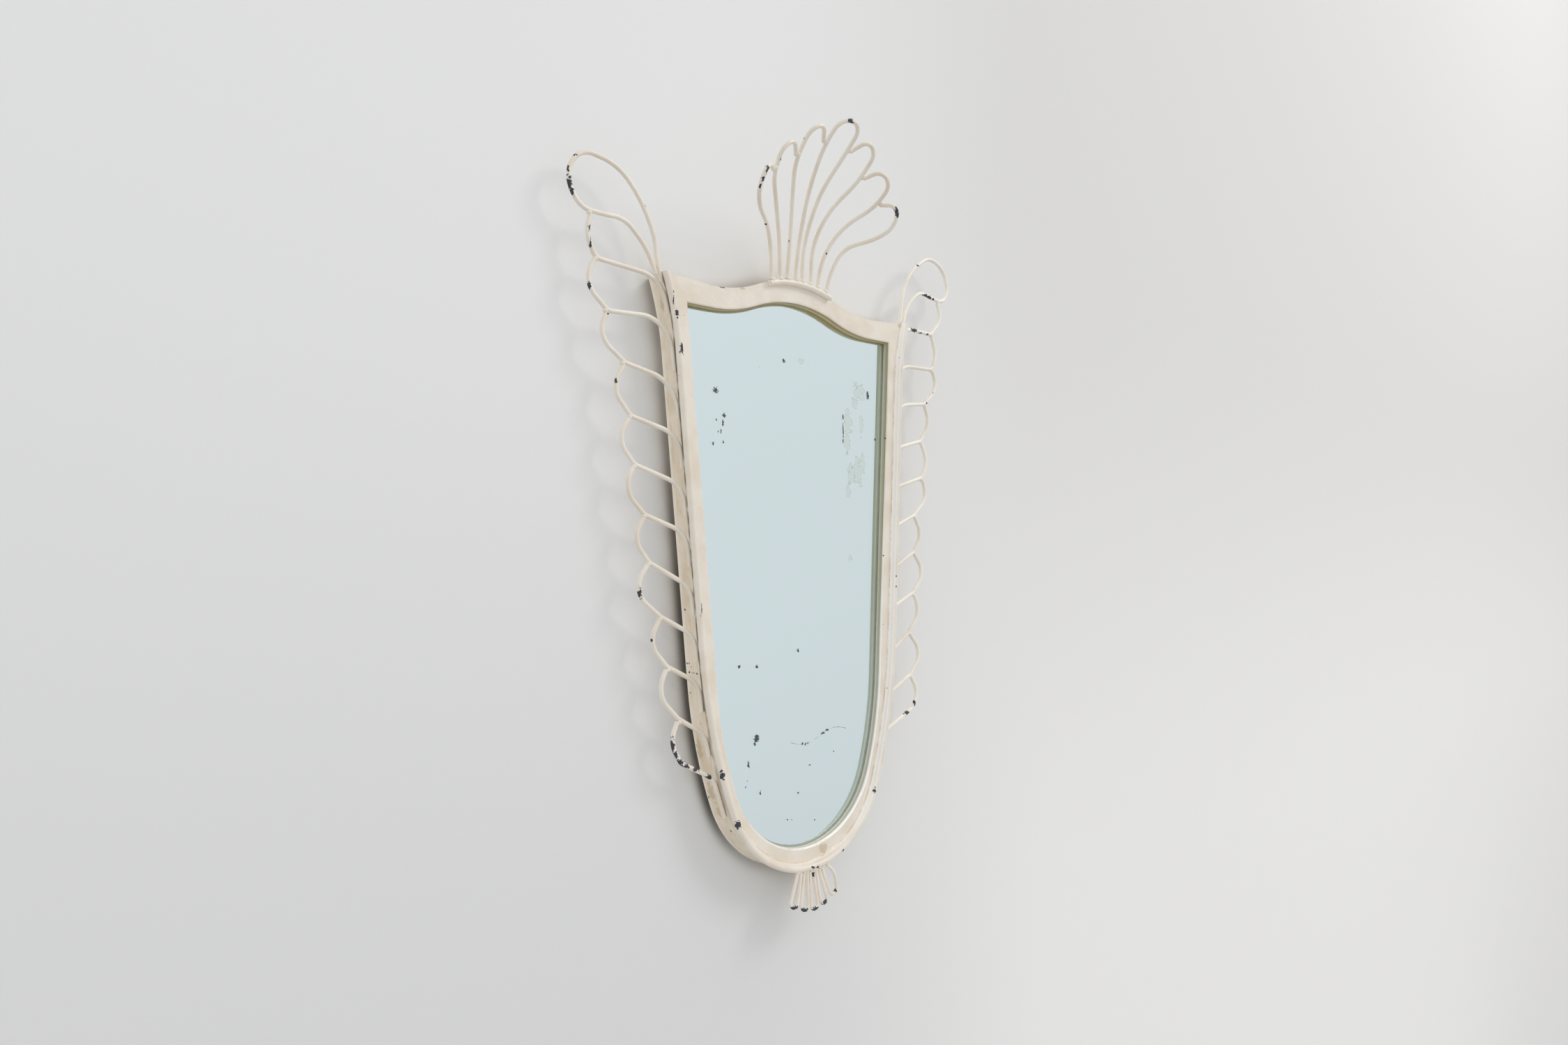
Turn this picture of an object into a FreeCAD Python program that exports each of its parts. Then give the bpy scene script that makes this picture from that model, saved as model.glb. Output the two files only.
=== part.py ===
"""Wall mirror in a painted iron frame, with wire wings, a wire crest and a wire tail.

Units are millimetres. X runs to the right, Y into the wall, Z up.
The origin lies on the wall, midway between the two hanging holes.
Outlines are drawn in the XZ plane and pushed along Y.
"""

import FreeCAD, Part

import functools
import math
import os

Vector = FreeCAD.Vector

# Opening of the frame, as seen from the front.
OPENING_HALF_WIDTH = 165.5
OPENING_HEIGHT = 614.0
OPENING_RISE = 24.5
OGEE_HALF_WIDTH = 130.0
SIDE_TAPER = math.radians(4.4)
BOTTOM_SWEEP = math.radians(70.0)
BOTTOM_ROUND_SHARE = 0.972

# Flat iron face round the opening, and the deep shell behind it.
FACE_WIDTH = 19.5
FACE_BOTTOM_WIDTH = 23.0
RIM_BOTTOM_SPREAD = 10.0
FACE_THICKNESS = 3.0
FACE_OVERHANG = 2.0
LIP_RADIUS = 2.4
RAIL_HEIGHT = 25.0
CORNER_RISE = 3.5
FLARE_RADIUS = 333.0
FLARE_DROP = 79.0
SHELL_DEPTH = 32.0
SHELL_INSET = 3.0
SHELL_BOTTOM_SPREAD = 3.0
SHELL_BOTTOM_DROP = 1.0
SHEET = 1.5

# Half-round rim bar on the face's outer edge.
RIM_DIAMETER = 8.0
RIM_SEAT = 0.8
RIM_FOOT = 3.6
FOOT_HEIGHT_SHARE = 0.42
FOOT_BELLY_SHARES = (0.36, 0.16)

# Glass, its rebate and the board behind it.
REBATE_DEPTH = 5.5
GLASS_THICKNESS = 4.0
GLASS_LAP = 6.0
BOARD_THICKNESS = 3.0
BOARD_LAP = 4.5

# Bent wire of the wings, crest and tail.
WIRE_DIAMETER = 5.0
TAIL_WIRE_DIAMETER = 4.0
WELD_GAP = 0.3
BEND_ROOM_SHARE = 0.98
WING_SETBACK = 8.0

# Wings: eleven lobes hang below one large loop on each side. They are bent by hand,
# so the left and the right wing each have their own places, the upper ones first.
LOBE_COUNT = 11
WING_REACH = 84.0
WING_PITCH_SHARE = 0.0815
LOBE_TURN_RADIUS = 11.0
SWEEP_RADIUS = 30.0
BOW_FACTOR_SHARE = 1.55
SWEEP_SHARES = (1.2, 1.3, 1.4, 1.1, 1.1, 1.1, 1.0, 1.1, 1.0, 1.0, 0.9)
LEFT_REACH_SHARES = (1.0, 0.97, 0.95, 0.77, 0.75, 0.75, 0.65, 0.64, 0.53, 0.49, 0.39, 0.46)
LEFT_FALL_SHARES = (0.0, 0.080, 0.165, 0.248, 0.337, 0.419, 0.504, 0.585, 0.678, 0.764, 0.855, 0.932)
LEFT_BOW_SHARES = (0.13, 0.28, 0.32, 0.26, 0.24, 0.26, 0.23, 0.38, 0.26, 0.27, 0.16)
LEFT_DROP_SHARES = (0.12, -0.08, 0.28, 0.32, 0.40, 0.38, 0.56, 0.46, 0.42, 0.42, 0.44)
RIGHT_REACH_SHARES = (0.96, 0.81, 0.96, 0.79, 0.71, 0.77, 0.60, 0.61, 0.63, 0.54, 0.60, 0.72)
RIGHT_FALL_SHARES = (0.0, 0.082, 0.161, 0.241, 0.324, 0.404, 0.487, 0.567, 0.653, 0.738, 0.828, 0.899)
RIGHT_BOW_SHARES = (0.24, 0.13, 0.26, 0.21, 0.17, 0.26, 0.21, 0.28, 0.23, 0.32, 0.16)
RIGHT_DROP_SHARES = (-0.04, 0.04, 0.14, 0.30, 0.36, 0.40, 0.52, 0.46, 0.58, 0.50, 0.54)

# Large top loop of each wing, in shares of its reach and rise from the shell's top corner.
LOOP_REACH = 110.0
LOOP_RISE_SHARE = 0.179
LEFT_START_SHARE = 0.461
RIGHT_START_SHARE = 0.433
LEFT_LOOP_SHARES = ((0.035, 0.10), (0.05, 0.34), (0.20, 0.665), (0.46, 0.95), (0.89, 1.005),
                    (1.05, 0.72), (0.90, 0.45), (0.66, 0.44), (0.40, 0.455), (0.16, 0.225),
                    (0.06, 0.02))
RIGHT_LOOP_SHARES = ((0.035, 0.10), (0.06, 0.38), (0.25, 0.72), (0.62, 0.96), (0.895, 0.845),
                     (0.975, 0.60), (0.88, 0.42), (0.66, 0.435), (0.42, 0.49), (0.165, 0.285),
                     (0.06, 0.02))
LOOP_FOOT = 10.0
LOOP_END_DROP = 4.0
LAST_RUN = 45.0

# Crest: seven arches on a curved base rod, curling forward like a fountain.
BASE_ROD_DIAMETER = 7.0
BASE_ROD_LEFT = 47.0
BASE_ROD_RIGHT = 54.0
BASE_ROD_DROP = 1.8
CREST_FORWARD = 91.0
CREST_CURL_POWER = 2.4
CREST_HALF_WIDTH = 113.0
CREST_HEIGHT = 167.0
CREST_CENTRE_SHARES = ((0.053, 0.0), (0.030, 0.266), (0.080, 0.62), (0.158, 0.85), (0.152, 1.0))
CREST_INNER_SHARES = ((0.177, 0.0), (0.160, 0.296), (0.278, 0.544), (0.46, 0.72), (0.48, 0.88),
                      (0.325, 0.94), (0.18, 0.86))
CREST_MIDDLE_SHARES = ((0.274, 0.0), (0.308, 0.225), (0.49, 0.45), (0.742, 0.585), (0.795, 0.72),
                       (0.635, 0.80), (0.485, 0.74))
CREST_OUTER_SHARES = ((0.40, 0.0), (0.435, 0.130), (0.55, 0.308), (0.86, 0.385), (0.99, 0.465),
                      (0.955, 0.605), (0.78, 0.603))

# Tail: five hairpins fanned out under the rim.
TAIL_LENGTH = 43.0
TAIL_SPREAD = 33.5
TAIL_ROOT_PITCH = 4.45
TAIL_TIP_RADIUS = 6.0
TAIL_LEAN = math.radians(6.0)
TAIL_TIP_SHARES = ((-1.0, 0.80), (-0.48, 0.95), (0.0, 1.0), (0.48, 0.93), (1.0, 0.76))
TAIL_BULGE = 11.0
TAIL_BULGE_SHARES = (0.0, 0.0, 0.0, 0.0, 1.0)
TAIL_BELLY_SHARE = 0.45

# Lugs, turn buttons and their screws hold the board in.
BUTTON_HEIGHT_SHARES = (-0.20, -0.52, -0.83)
BUTTON_LENGTH = 16.0
BUTTON_WIDTH = 10.0
BUTTON_THICKNESS = 1.5
BUTTON_GAP = 0.2
PIVOT_DIAMETER = 3.0
PIVOT_CLEARANCE = 0.05
PIVOT_INSET = 7.5
HEAD_DIAMETER = 6.0
HEAD_HEIGHT = 2.0
LUG_WIDTH = 14.0
LUG_FOOT = 10.0
LUG_MARGIN = 0.5

# Corner plates at the back, with the hanging holes.
HOLE_INSET = 15.5
HOLE_DIAMETER = 8.0
HOLE_BELOW_CORNER = 10.0
HANGER_THICKNESS = 2.0
HANGER_WIDTH = 62.0
HANGER_DROP = 32.0
HANGER_SHARES = ((1.0, 1.0), (-1.0, 1.0), (-0.55, -0.45), (1.0, -1.0))

# How far cutting and limiting shapes run past what they cut, and how near counts as touching.
OVERRUN = 40.0
TOUCH = 0.03
HALVINGS = 10
RUN_STEPS = 10

FRONT = -SHELL_DEPTH
CORNER_Z = HOLE_BELOW_CORNER
TOP_Z = CORNER_Z + RAIL_HEIGHT + CORNER_RISE
OPENING_BOTTOM_Z = CORNER_Z - OPENING_HEIGHT
OPENING_FOOT_HALF_WIDTH = OPENING_HALF_WIDTH - OPENING_HEIGHT * math.tan(SIDE_TAPER)
OPENING_BOTTOM_RADIUS = OPENING_FOOT_HALF_WIDTH * BOTTOM_ROUND_SHARE
RIM_RADIUS = RIM_DIAMETER / 2
RIM_HALF_WIDTH = OPENING_HALF_WIDTH + FACE_WIDTH / math.cos(SIDE_TAPER)
RIM_BOTTOM_Z = OPENING_BOTTOM_Z - FACE_BOTTOM_WIDTH
RIM_BOTTOM_RADIUS = OPENING_BOTTOM_RADIUS + RIM_BOTTOM_SPREAD
SHELL_HALF_WIDTH = RIM_HALF_WIDTH - SHELL_INSET / math.cos(SIDE_TAPER)
SHELL_BOTTOM_Z = RIM_BOTTOM_Z - SHELL_BOTTOM_DROP
SHELL_BOTTOM_RADIUS = RIM_BOTTOM_RADIUS + SHELL_BOTTOM_SPREAD
FLARE_Z = TOP_Z - FLARE_DROP
WIRE_RADIUS = WIRE_DIAMETER / 2
TAIL_WIRE_RADIUS = TAIL_WIRE_DIAMETER / 2
WING_Y = FRONT + WING_SETBACK
WING_PITCH = OPENING_HEIGHT * WING_PITCH_SHARE
LOOP_RISE = OPENING_HEIGHT * LOOP_RISE_SHARE
GLASS_Y = FRONT + FACE_THICKNESS + REBATE_DEPTH
BOARD_Y = GLASS_Y + GLASS_THICKNESS
BOARD_BACK = BOARD_Y + BOARD_THICKNESS
BASE_ROD_Y = FRONT - BASE_ROD_DIAMETER / 2
RIM_Y = FRONT - RIM_RADIUS + RIM_SEAT
ORIGIN = Vector(0, 0, 0)
ACROSS = Vector(1, 0, 0)
INTO_WALL = Vector(0, 1, 0)


def at(x, z):
    """Give the point of an outline in the XZ plane."""
    return Vector(x, 0, z)


def arc(first, middle, last):
    """Give the arc edge through three points."""
    return Part.Arc(first, middle, last).toShape()


def arc_round(centre, start, end):
    """Give the short arc about a centre, from a start point to an end point."""
    spoke = (start - centre) + (end - centre)
    spoke.normalize()
    return arc(start, centre + spoke * (start - centre).Length, end)


def both_halves(edges):
    """Give edges of the right half together with their mirror images."""
    return edges + [edge.mirror(ORIGIN, ACROSS) for edge in edges]


def sorted_wire(edges):
    """Join loose edges into one wire."""
    return Part.Wire(Part.__sortEdges__(edges))


def side_edges(half_width, bottom_z, bottom_radius, inset=0.0, flared=False):
    """Draw the right half of a shield outline, from the bottom centre up.

    Args:
        half_width: half of the width at the height of the opening's top corners.
        bottom_z: height of the lowest point.
        bottom_radius: radius of the bottom arc.
        inset: distance of a parallel outline inside this one.
        flared: whether the top curves outwards up to the top of the rail.
    """
    up = Vector(math.sin(SIDE_TAPER), 0, math.cos(SIDE_TAPER))
    inward = Vector(-math.cos(SIDE_TAPER), 0, math.sin(SIDE_TAPER))
    corner = at(half_width, CORNER_Z)
    bottom_centre = at(0, bottom_z + bottom_radius)
    spoke = Vector(math.sin(BOTTOM_SWEEP), 0, -math.cos(BOTTOM_SWEEP))
    along = Vector(math.cos(BOTTOM_SWEEP), 0, math.sin(BOTTOM_SWEEP))
    knee = bottom_centre + spoke * bottom_radius
    gap = corner - knee
    crossing = knee + along * ((gap.x * up.z - gap.z * up.x) / (along.x * up.z - along.z * up.x))
    tangent = (crossing - knee).Length
    side_radius = tangent / math.tan((math.pi / 2 - SIDE_TAPER - BOTTOM_SWEEP) / 2)
    side_centre = knee - spoke * side_radius
    shoulder = crossing + up * tangent + inward * inset
    knee = knee - spoke * inset
    edges = [arc_round(bottom_centre, at(0, bottom_z + inset), knee)]
    edges.append(arc_round(side_centre, knee, shoulder))
    if not flared:
        rise = -inset * (1 + inward.z) / up.z
        edges.append(Part.LineSegment(shoulder, corner + inward * inset + up * rise).toShape())
        return edges
    flare_start = corner + up * ((FLARE_Z - CORNER_Z) / up.z)
    flare_centre = flare_start - inward * FLARE_RADIUS
    radius = FLARE_RADIUS + inset
    turn = math.asin((TOP_Z - flare_centre.z) / radius)
    flare_end = flare_centre + Vector(-math.cos(turn), 0, math.sin(turn)) * radius
    edges.append(Part.LineSegment(shoulder, flare_start + inward * inset).toShape())
    edges.append(arc_round(flare_centre, flare_start + inward * inset, flare_end))
    return edges


def opening_edges(inset=0.0):
    """Draw the right half of the opening's sides."""
    return side_edges(OPENING_HALF_WIDTH, OPENING_BOTTOM_Z, OPENING_BOTTOM_RADIUS, inset)


def rim_edges(inset=0.0):
    """Draw the right half of the rim bar's centre line, or of a line beside it."""
    return side_edges(RIM_HALF_WIDTH, RIM_BOTTOM_Z, RIM_BOTTOM_RADIUS, inset, flared=True)


def shell_edges(inset=0.0):
    """Draw the right half of the side wall's outer face, or of a line beside it."""
    return side_edges(SHELL_HALF_WIDTH, SHELL_BOTTOM_Z, SHELL_BOTTOM_RADIUS, inset, flared=True)


def ogee_edges(corner, level, rise):
    """Draw the right half of a double-curved top edge, from the corner to the centre."""
    half = OGEE_HALF_WIDTH / 2
    radius = (half ** 2 + (rise / 2) ** 2) / rise
    low = at(OGEE_HALF_WIDTH, level)
    middle = at(half, level + rise / 2)
    top = at(0, level + rise)
    hollow = arc_round(low + at(0, radius), low, middle)
    hump = arc_round(top - at(0, radius), middle, top)
    return [Part.LineSegment(corner, low).toShape(), hollow, hump]


def solid_between(edges, near, far):
    """Push the closed outline that the edges make from one Y to another."""
    face = Part.Face(sorted_wire(edges))
    face.translate(Vector(0, near, 0))
    return face.extrude(Vector(0, far - near, 0))


def shield(side, level, rise, near, far):
    """Give a plate inside a side outline and under an ogee top edge."""
    edges = side + ogee_edges(highest_end(side), level, rise)
    return solid_between(both_halves(edges), near, far)


def highest_end(side):
    """Give the highest end point of a side outline."""
    return max((vertex.Point for edge in side for vertex in edge.Vertexes), key=lambda point: point.z)


def strip(outer, inner, near, far):
    """Give the U-shaped strip between two side outlines."""
    link = Part.LineSegment(highest_end(outer), highest_end(inner)).toShape()
    return solid_between(both_halves(outer + inner + [link]), near, far)


def part_between(shape, low, high):
    """Give the part of a shape between two heights."""
    reach = RIM_HALF_WIDTH + OVERRUN
    corner = Vector(-reach, FRONT - OVERRUN, low)
    depth = SHELL_DEPTH + OVERRUN * 2
    return shape.common(Part.makeBox(reach * 2, depth, high - low, corner))


def upper_part(shape):
    """Give the part of a frame piece above the opening's top corners."""
    return part_between(shape, CORNER_Z, TOP_Z + OVERRUN)


def lower_part(shape):
    """Give the part of a frame piece below the opening's top corners."""
    return part_between(shape, RIM_BOTTOM_Z - OVERRUN, CORNER_Z)


def face_plate():
    """Give the flat iron face with its rounded inner edge."""
    outer = shield(rim_edges(-FACE_OVERHANG), TOP_Z - CORNER_RISE, RAIL_HEIGHT, FRONT,
                   FRONT + FACE_THICKNESS)
    opening = shield(opening_edges(), CORNER_Z, OPENING_RISE, FRONT - OVERRUN, OVERRUN)
    plate = outer.cut(opening)
    lip = [edge for edge in plate.Edges if on_opening_front(edge)]
    return plate.makeFillet(LIP_RADIUS, lip)


def on_opening_front(edge):
    """Tell whether a plate edge is one of the opening's front edges."""
    box = edge.BoundBox
    flat = box.YLength < WELD_GAP and abs(box.YMin - FRONT) < WELD_GAP
    inside = box.XMax < OPENING_HALF_WIDTH + WELD_GAP and box.XMin > -OPENING_HALF_WIDTH - WELD_GAP
    low = box.ZMax < CORNER_Z + OPENING_RISE + WELD_GAP and box.ZMin > OPENING_BOTTOM_Z - WELD_GAP
    return flat and inside and low


def rebate_ring():
    """Give the band that runs back from the opening to the glass."""
    near = FRONT + FACE_THICKNESS
    outer = shield(opening_edges(-SHEET), CORNER_Z + SHEET, OPENING_RISE, near, GLASS_Y)
    opening = shield(opening_edges(), CORNER_Z, OPENING_RISE, near - OVERRUN, OVERRUN)
    return outer.cut(opening)


def pane(lap, near, thickness):
    """Give a plate of the opening's shape, grown by a lap all round."""
    return shield(opening_edges(-lap), CORNER_Z + lap, OPENING_RISE, near, near + thickness)


def side_wall():
    """Give the deep strip round the sides and the bottom."""
    return strip(shell_edges(), shell_edges(SHEET), FRONT + FACE_THICKNESS, 0)


def inner_room(near, far):
    """Give the space inside the side wall and under the top wall."""
    side = shell_edges(SHEET)
    return shield(side, TOP_Z - CORNER_RISE - SHEET, RAIL_HEIGHT, near, far)


def top_wall():
    """Give the deep strip behind the rail's upper edge."""
    near = FRONT + FACE_THICKNESS
    side = shell_edges(SHEET)
    filled = shield(side, TOP_Z - CORNER_RISE, RAIL_HEIGHT, near, 0)
    lowered = filled.copy()
    lowered.translate(Vector(0, 0, -SHEET))
    return upper_part(filled.cut(lowered))


def beginning(path):
    """Give a path's start point and its direction there."""
    first = path.OrderedEdges[0]
    start = path.OrderedVertexes[0].Point
    place = first.FirstParameter
    if (first.valueAt(place) - start).Length > WELD_GAP:
        place = first.LastParameter
    return start, first.tangentAt(place)


def rim_section(point, direction):
    """Draw the rim bar's section, round in front with a soft foot on its inner side."""
    outward = direction.cross(INTO_WALL)
    outward.normalize()
    if outward.x * point.x < 0:
        outward = -outward

    def place(u, v):
        return point + outward * u - INTO_WALL * v

    base = RIM_RADIUS - RIM_SEAT
    half_seat = math.sqrt(RIM_RADIUS ** 2 - base ** 2)
    joint_v = base + RIM_RADIUS * FOOT_HEIGHT_SHARE
    joint_u = -RIM_RADIUS * math.sqrt(1 - FOOT_HEIGHT_SHARE ** 2)
    toe = place(-RIM_RADIUS - RIM_FOOT, 0)
    joint = place(joint_u, joint_v)
    belly = place(joint_u - RIM_FOOT * FOOT_BELLY_SHARES[0], joint_v * FOOT_BELLY_SHARES[0])
    heel = place(half_seat, 0)
    crown = place(0, base + RIM_RADIUS)
    edges = [arc(toe, belly, joint), arc(joint, crown, heel), Part.LineSegment(heel, toe).toShape()]
    return sorted_wire(edges)


def rim_path(y):
    """Give the route of the rim bar at a depth."""
    path = sorted_wire(both_halves(rim_edges()))
    path.translate(Vector(0, y, 0))
    return path


def rim_bar():
    """Give the bar that borders the sides and the bottom of the face."""
    path = rim_path(FRONT)
    start, direction = beginning(path)
    return path.makePipeShell([rim_section(start, direction)], True, False)


def bent_path(points, radii=None):
    """Join points by straight runs, with a tangent arc at each corner.

    Args:
        points: the corners of the route, ends included.
        radii: a radius for each inner corner, or None for the largest that fits.
    """
    edges = []
    last = points[0]
    for index in range(1, len(points) - 1):
        corner = points[index]
        back = points[index - 1] - corner
        ahead = points[index + 1] - corner
        half_turn = (math.pi - back.getAngle(ahead)) / 2
        room_back = back.Length if index == 1 else back.Length / 2
        room_ahead = ahead.Length if index == len(points) - 2 else ahead.Length / 2
        reach = min(room_back, room_ahead) * BEND_ROOM_SHARE
        if radii is not None:
            reach = min(reach, radii[index - 1] * math.tan(half_turn))
        radius = reach / math.tan(half_turn)
        back.normalize()
        ahead.normalize()
        start = corner + back * reach
        end = corner + ahead * reach
        bisector = back + ahead
        bisector.normalize()
        middle = corner + bisector * (radius / math.cos(half_turn) - radius)
        edges.append(Part.LineSegment(last, start).toShape())
        edges.append(arc(start, middle, end))
        last = end
    edges.append(Part.LineSegment(last, points[-1]).toShape())
    return Part.Wire(edges)


def round_wire(path, diameter):
    """Give a round wire along a path."""
    start, direction = beginning(path)
    section = Part.Wire([Part.makeCircle(diameter / 2, start, direction)])
    return path.makePipeShell([section], True, False)


def least_passing(test, far):
    """Give the least length, up to a far one, that passes a test."""
    near = 0
    for _ in range(HALVINGS):
        middle = (near + far) / 2
        if test(middle):
            far = middle
        else:
            near = middle
    return far


def stand_off(point, towards, other, other_radius, radius=WIRE_RADIUS):
    """Move a wire's square end away from a bar until it rests on the bar's surface.

    Args:
        point: a place near the bar's centre line, where the wire would start.
        towards: the next place along the wire.
        other: the centre line of the bar.
        other_radius: the radius of the bar.
        radius: the radius of the wire.
    """
    step = towards - point
    step.normalize()

    def clear(length):
        end = Part.Face(Part.Wire([Part.makeCircle(radius, point + step * length, step)]))
        return end.distToShape(other)[0] > other_radius + WELD_GAP

    return point + step * least_passing(clear, (other_radius + radius) * 2)


@functools.lru_cache
def wire_line():
    """Give the edges that the centre of a wire follows down the side wall."""
    return shell_edges(-WIRE_RADIUS)


@functools.lru_cache
def wall_x(z):
    """Give how far out the centre of a wire lies that runs down the side wall."""
    level = min(z, TOP_Z)
    line = Part.makeLine(at(0, level), at(RIM_HALF_WIDTH + FLARE_RADIUS, level))
    best = 0
    for edge in wire_line():
        distance, pairs, _ = edge.distToShape(line)
        if distance < TOUCH:
            best = max(best, pairs[0][0].x)
    return best


def wall_run(top, bottom):
    """Give two points of a straight run that touches the side wall and stays outside it."""
    slope = (wall_x(top) - wall_x(bottom)) / (top - bottom)
    heights = [bottom + (top - bottom) * step / RUN_STEPS for step in range(RUN_STEPS + 1)]
    foot = max(wall_x(height) - slope * (height - bottom) for height in heights)
    return [Vector(foot + slope * (z - bottom), WING_Y, z) for z in (top, bottom)]


class Wing:
    """One wing, worked out as if it stood on the right."""

    def __init__(self, loop_shares, start_share, reach_shares, fall_shares, bow_shares, drop_shares):
        """Take the loop's places, the first lobe's start, and the reach, fall, bow and drop of each lobe."""
        self.loop_shares = loop_shares
        self.start_share = start_share
        self.reach_shares = reach_shares
        self.fall_shares = fall_shares
        self.bow_shares = bow_shares
        self.drop_shares = drop_shares

    def joint(self, index):
        """Give the place where one lobe ends and the next begins."""
        z = TOP_Z + LOOP_RISE * self.start_share - OPENING_HEIGHT * self.fall_shares[index]
        return Vector(wall_x(z) + WING_REACH * self.reach_shares[index], WING_Y, z)

    def run_top(self, index):
        """Give the height where a lobe's run would meet the side wall without its bend."""
        return self.joint(index + 1).z - WING_PITCH * self.drop_shares[index]

    def run_end(self, index):
        """Give the height where a lobe's run down the side wall ends above the next one."""
        if index == LOBE_COUNT - 1:
            return self.run_top(index) - LAST_RUN
        radius = SWEEP_RADIUS * SWEEP_SHARES[index + 1]
        joint = self.joint(index + 2)
        top = self.run_top(index + 1)
        fall = math.atan2(joint.z - top, joint.x - wall_x(top))
        half_turn = (math.pi / 2 - SIDE_TAPER - fall) / 2
        landing = top - radius * math.tan(half_turn)
        reach = radius + WIRE_RADIUS + WELD_GAP
        return landing + math.sqrt(reach ** 2 - (radius - WIRE_RADIUS) ** 2)

    def apex(self, index):
        """Give the outermost corner of one lobe's route."""
        bow = WING_PITCH * self.bow_shares[index] * BOW_FACTOR_SHARE
        return (self.joint(index) + self.joint(index + 1)) / 2 + ACROSS * bow

    def lobe_path(self, index, start, lift=0):
        """Give the route of one lobe.

        Args:
            index: which lobe, the upper one first.
            start: where the lobe starts on the wire above it.
            lift: how much higher than planned the run down the side wall ends.
        """
        run = wall_run(self.run_top(index), self.run_end(index) + lift)
        radii = [WING_PITCH, LOBE_TURN_RADIUS, SWEEP_RADIUS * SWEEP_SHARES[index]]
        return bent_path([start, self.apex(index), self.joint(index + 1)] + run, radii)

    def loop_path(self):
        """Give the route of the large top loop."""
        corner = Vector(wall_x(TOP_Z) + WELD_GAP, WING_Y, TOP_Z)
        foot = Vector(wall_x(TOP_Z - LOOP_FOOT) + WELD_GAP, WING_Y, TOP_Z - LOOP_FOOT)
        places = [corner + Vector(LOOP_REACH * x, 0, LOOP_RISE * z) for x, z in self.loop_shares]
        end = places[-1] + (foot - corner) * (LOOP_END_DROP / LOOP_FOOT)
        return bent_path([foot] + places + [end])

    def lifted_path(self, index, start, below):
        """Give the route of one lobe with its run cut short above the next lobe."""
        def clear(lift):
            path = self.lobe_path(index, start, lift)
            return path.distToShape(below)[0] > WIRE_DIAMETER + WELD_GAP

        return self.lobe_path(index, start, 0 if clear(0) else least_passing(clear, LAST_RUN / 2))

    def wires(self):
        """Give all wires of the wing, the large loop first."""
        paths = [self.loop_path()]
        starts = []
        for index in range(LOBE_COUNT):
            start = stand_off(self.joint(index), self.apex(index), paths[-1], WIRE_RADIUS)
            starts.append(start)
            paths.append(self.lobe_path(index, start))
        for index in range(LOBE_COUNT - 1):
            paths[index + 1] = self.lifted_path(index, starts[index], paths[index + 2])
        return [round_wire(path, WIRE_DIAMETER) for path in paths]


def base_rod_z(x):
    """Give the height of the base rod's centre line at a place across."""
    radius = ((OGEE_HALF_WIDTH / 2) ** 2 + (RAIL_HEIGHT / 2) ** 2) / RAIL_HEIGHT
    top = TOP_Z - CORNER_RISE + RAIL_HEIGHT
    lowered = radius - BASE_ROD_DROP
    return top - radius + math.sqrt(lowered ** 2 - x ** 2)


def base_rod_path():
    """Give the centre line of the thick rod on the rail's hump."""
    places = [Vector(x, BASE_ROD_Y, base_rod_z(x)) for x in (-BASE_ROD_LEFT, 0, BASE_ROD_RIGHT)]
    return Part.Wire([arc(*places)])


def crest_point(shares):
    """Put a crest place on the bowl that the crest curls forward along."""
    x = CREST_HALF_WIDTH * shares[0]
    rise = CREST_HEIGHT * shares[1]
    out_share = math.hypot(x, rise) / CREST_HEIGHT
    forward = CREST_FORWARD * out_share ** CREST_CURL_POWER
    return Vector(x, BASE_ROD_Y - forward, base_rod_z(0) + rise)


def crest_foot(x, towards):
    """Give the place where a strand stands on the base rod."""
    centre = Vector(x, BASE_ROD_Y, base_rod_z(x))
    return stand_off(centre, towards, base_rod_path(), BASE_ROD_DIAMETER / 2)


def crest_centre_path():
    """Give the route of the middle hairpin of the crest."""
    right = [crest_point(shares) for shares in CREST_CENTRE_SHARES]
    right[0] = crest_foot(right[0].x, right[1])
    left = [Vector(-point.x, point.y, point.z) for point in right]
    return bent_path(right + left[::-1])


def crest_side_path(shares, inner):
    """Give the route of one right-hand arch, which ends on the next strand inward."""
    points = [crest_point(pair) for pair in shares]
    points[0] = crest_foot(points[0].x, points[1])
    points[-1] = stand_off(points[-1], points[-2], inner, WIRE_RADIUS)
    return bent_path(points)


def tail_loop(index):
    """Give one hairpin of the tail fan."""
    count = len(TAIL_TIP_SHARES)
    side, depth = TAIL_TIP_SHARES[index]
    middle = (index - (count - 1) / 2) * 2 * TAIL_ROOT_PITCH
    tip_x = TAIL_SPREAD * side
    tip_z = -TAIL_LENGTH * depth
    along = at(tip_x - middle, tip_z)
    along.normalize()
    across = at(-along.z, along.x)
    tip = at(tip_x, tip_z)
    left = at(middle - TAIL_ROOT_PITCH / 2, 0)
    right = at(middle + TAIL_ROOT_PITCH / 2, 0)
    low_left = tip - across * TAIL_TIP_RADIUS
    low_right = tip + across * TAIL_TIP_RADIUS
    route = [left, low_left, low_right, right]
    radii = [TAIL_TIP_RADIUS, TAIL_TIP_RADIUS]
    bulge = TAIL_BULGE * TAIL_BULGE_SHARES[index]
    if bulge > 0:
        belly = right + (low_right - right) * TAIL_BELLY_SHARE + across * bulge
        route = [left, low_left, low_right, belly, right]
        radii = [TAIL_TIP_RADIUS, TAIL_TIP_RADIUS, TAIL_LENGTH]
    places = [tail_place(point) for point in route]
    rim = rim_path(RIM_Y)
    places[0] = stand_off(places[0], places[1], rim, RIM_RADIUS, TAIL_WIRE_RADIUS)
    places[-1] = stand_off(places[-1], places[-2], rim, RIM_RADIUS, TAIL_WIRE_RADIUS)
    return round_wire(bent_path(places, radii), TAIL_WIRE_DIAMETER)


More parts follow.
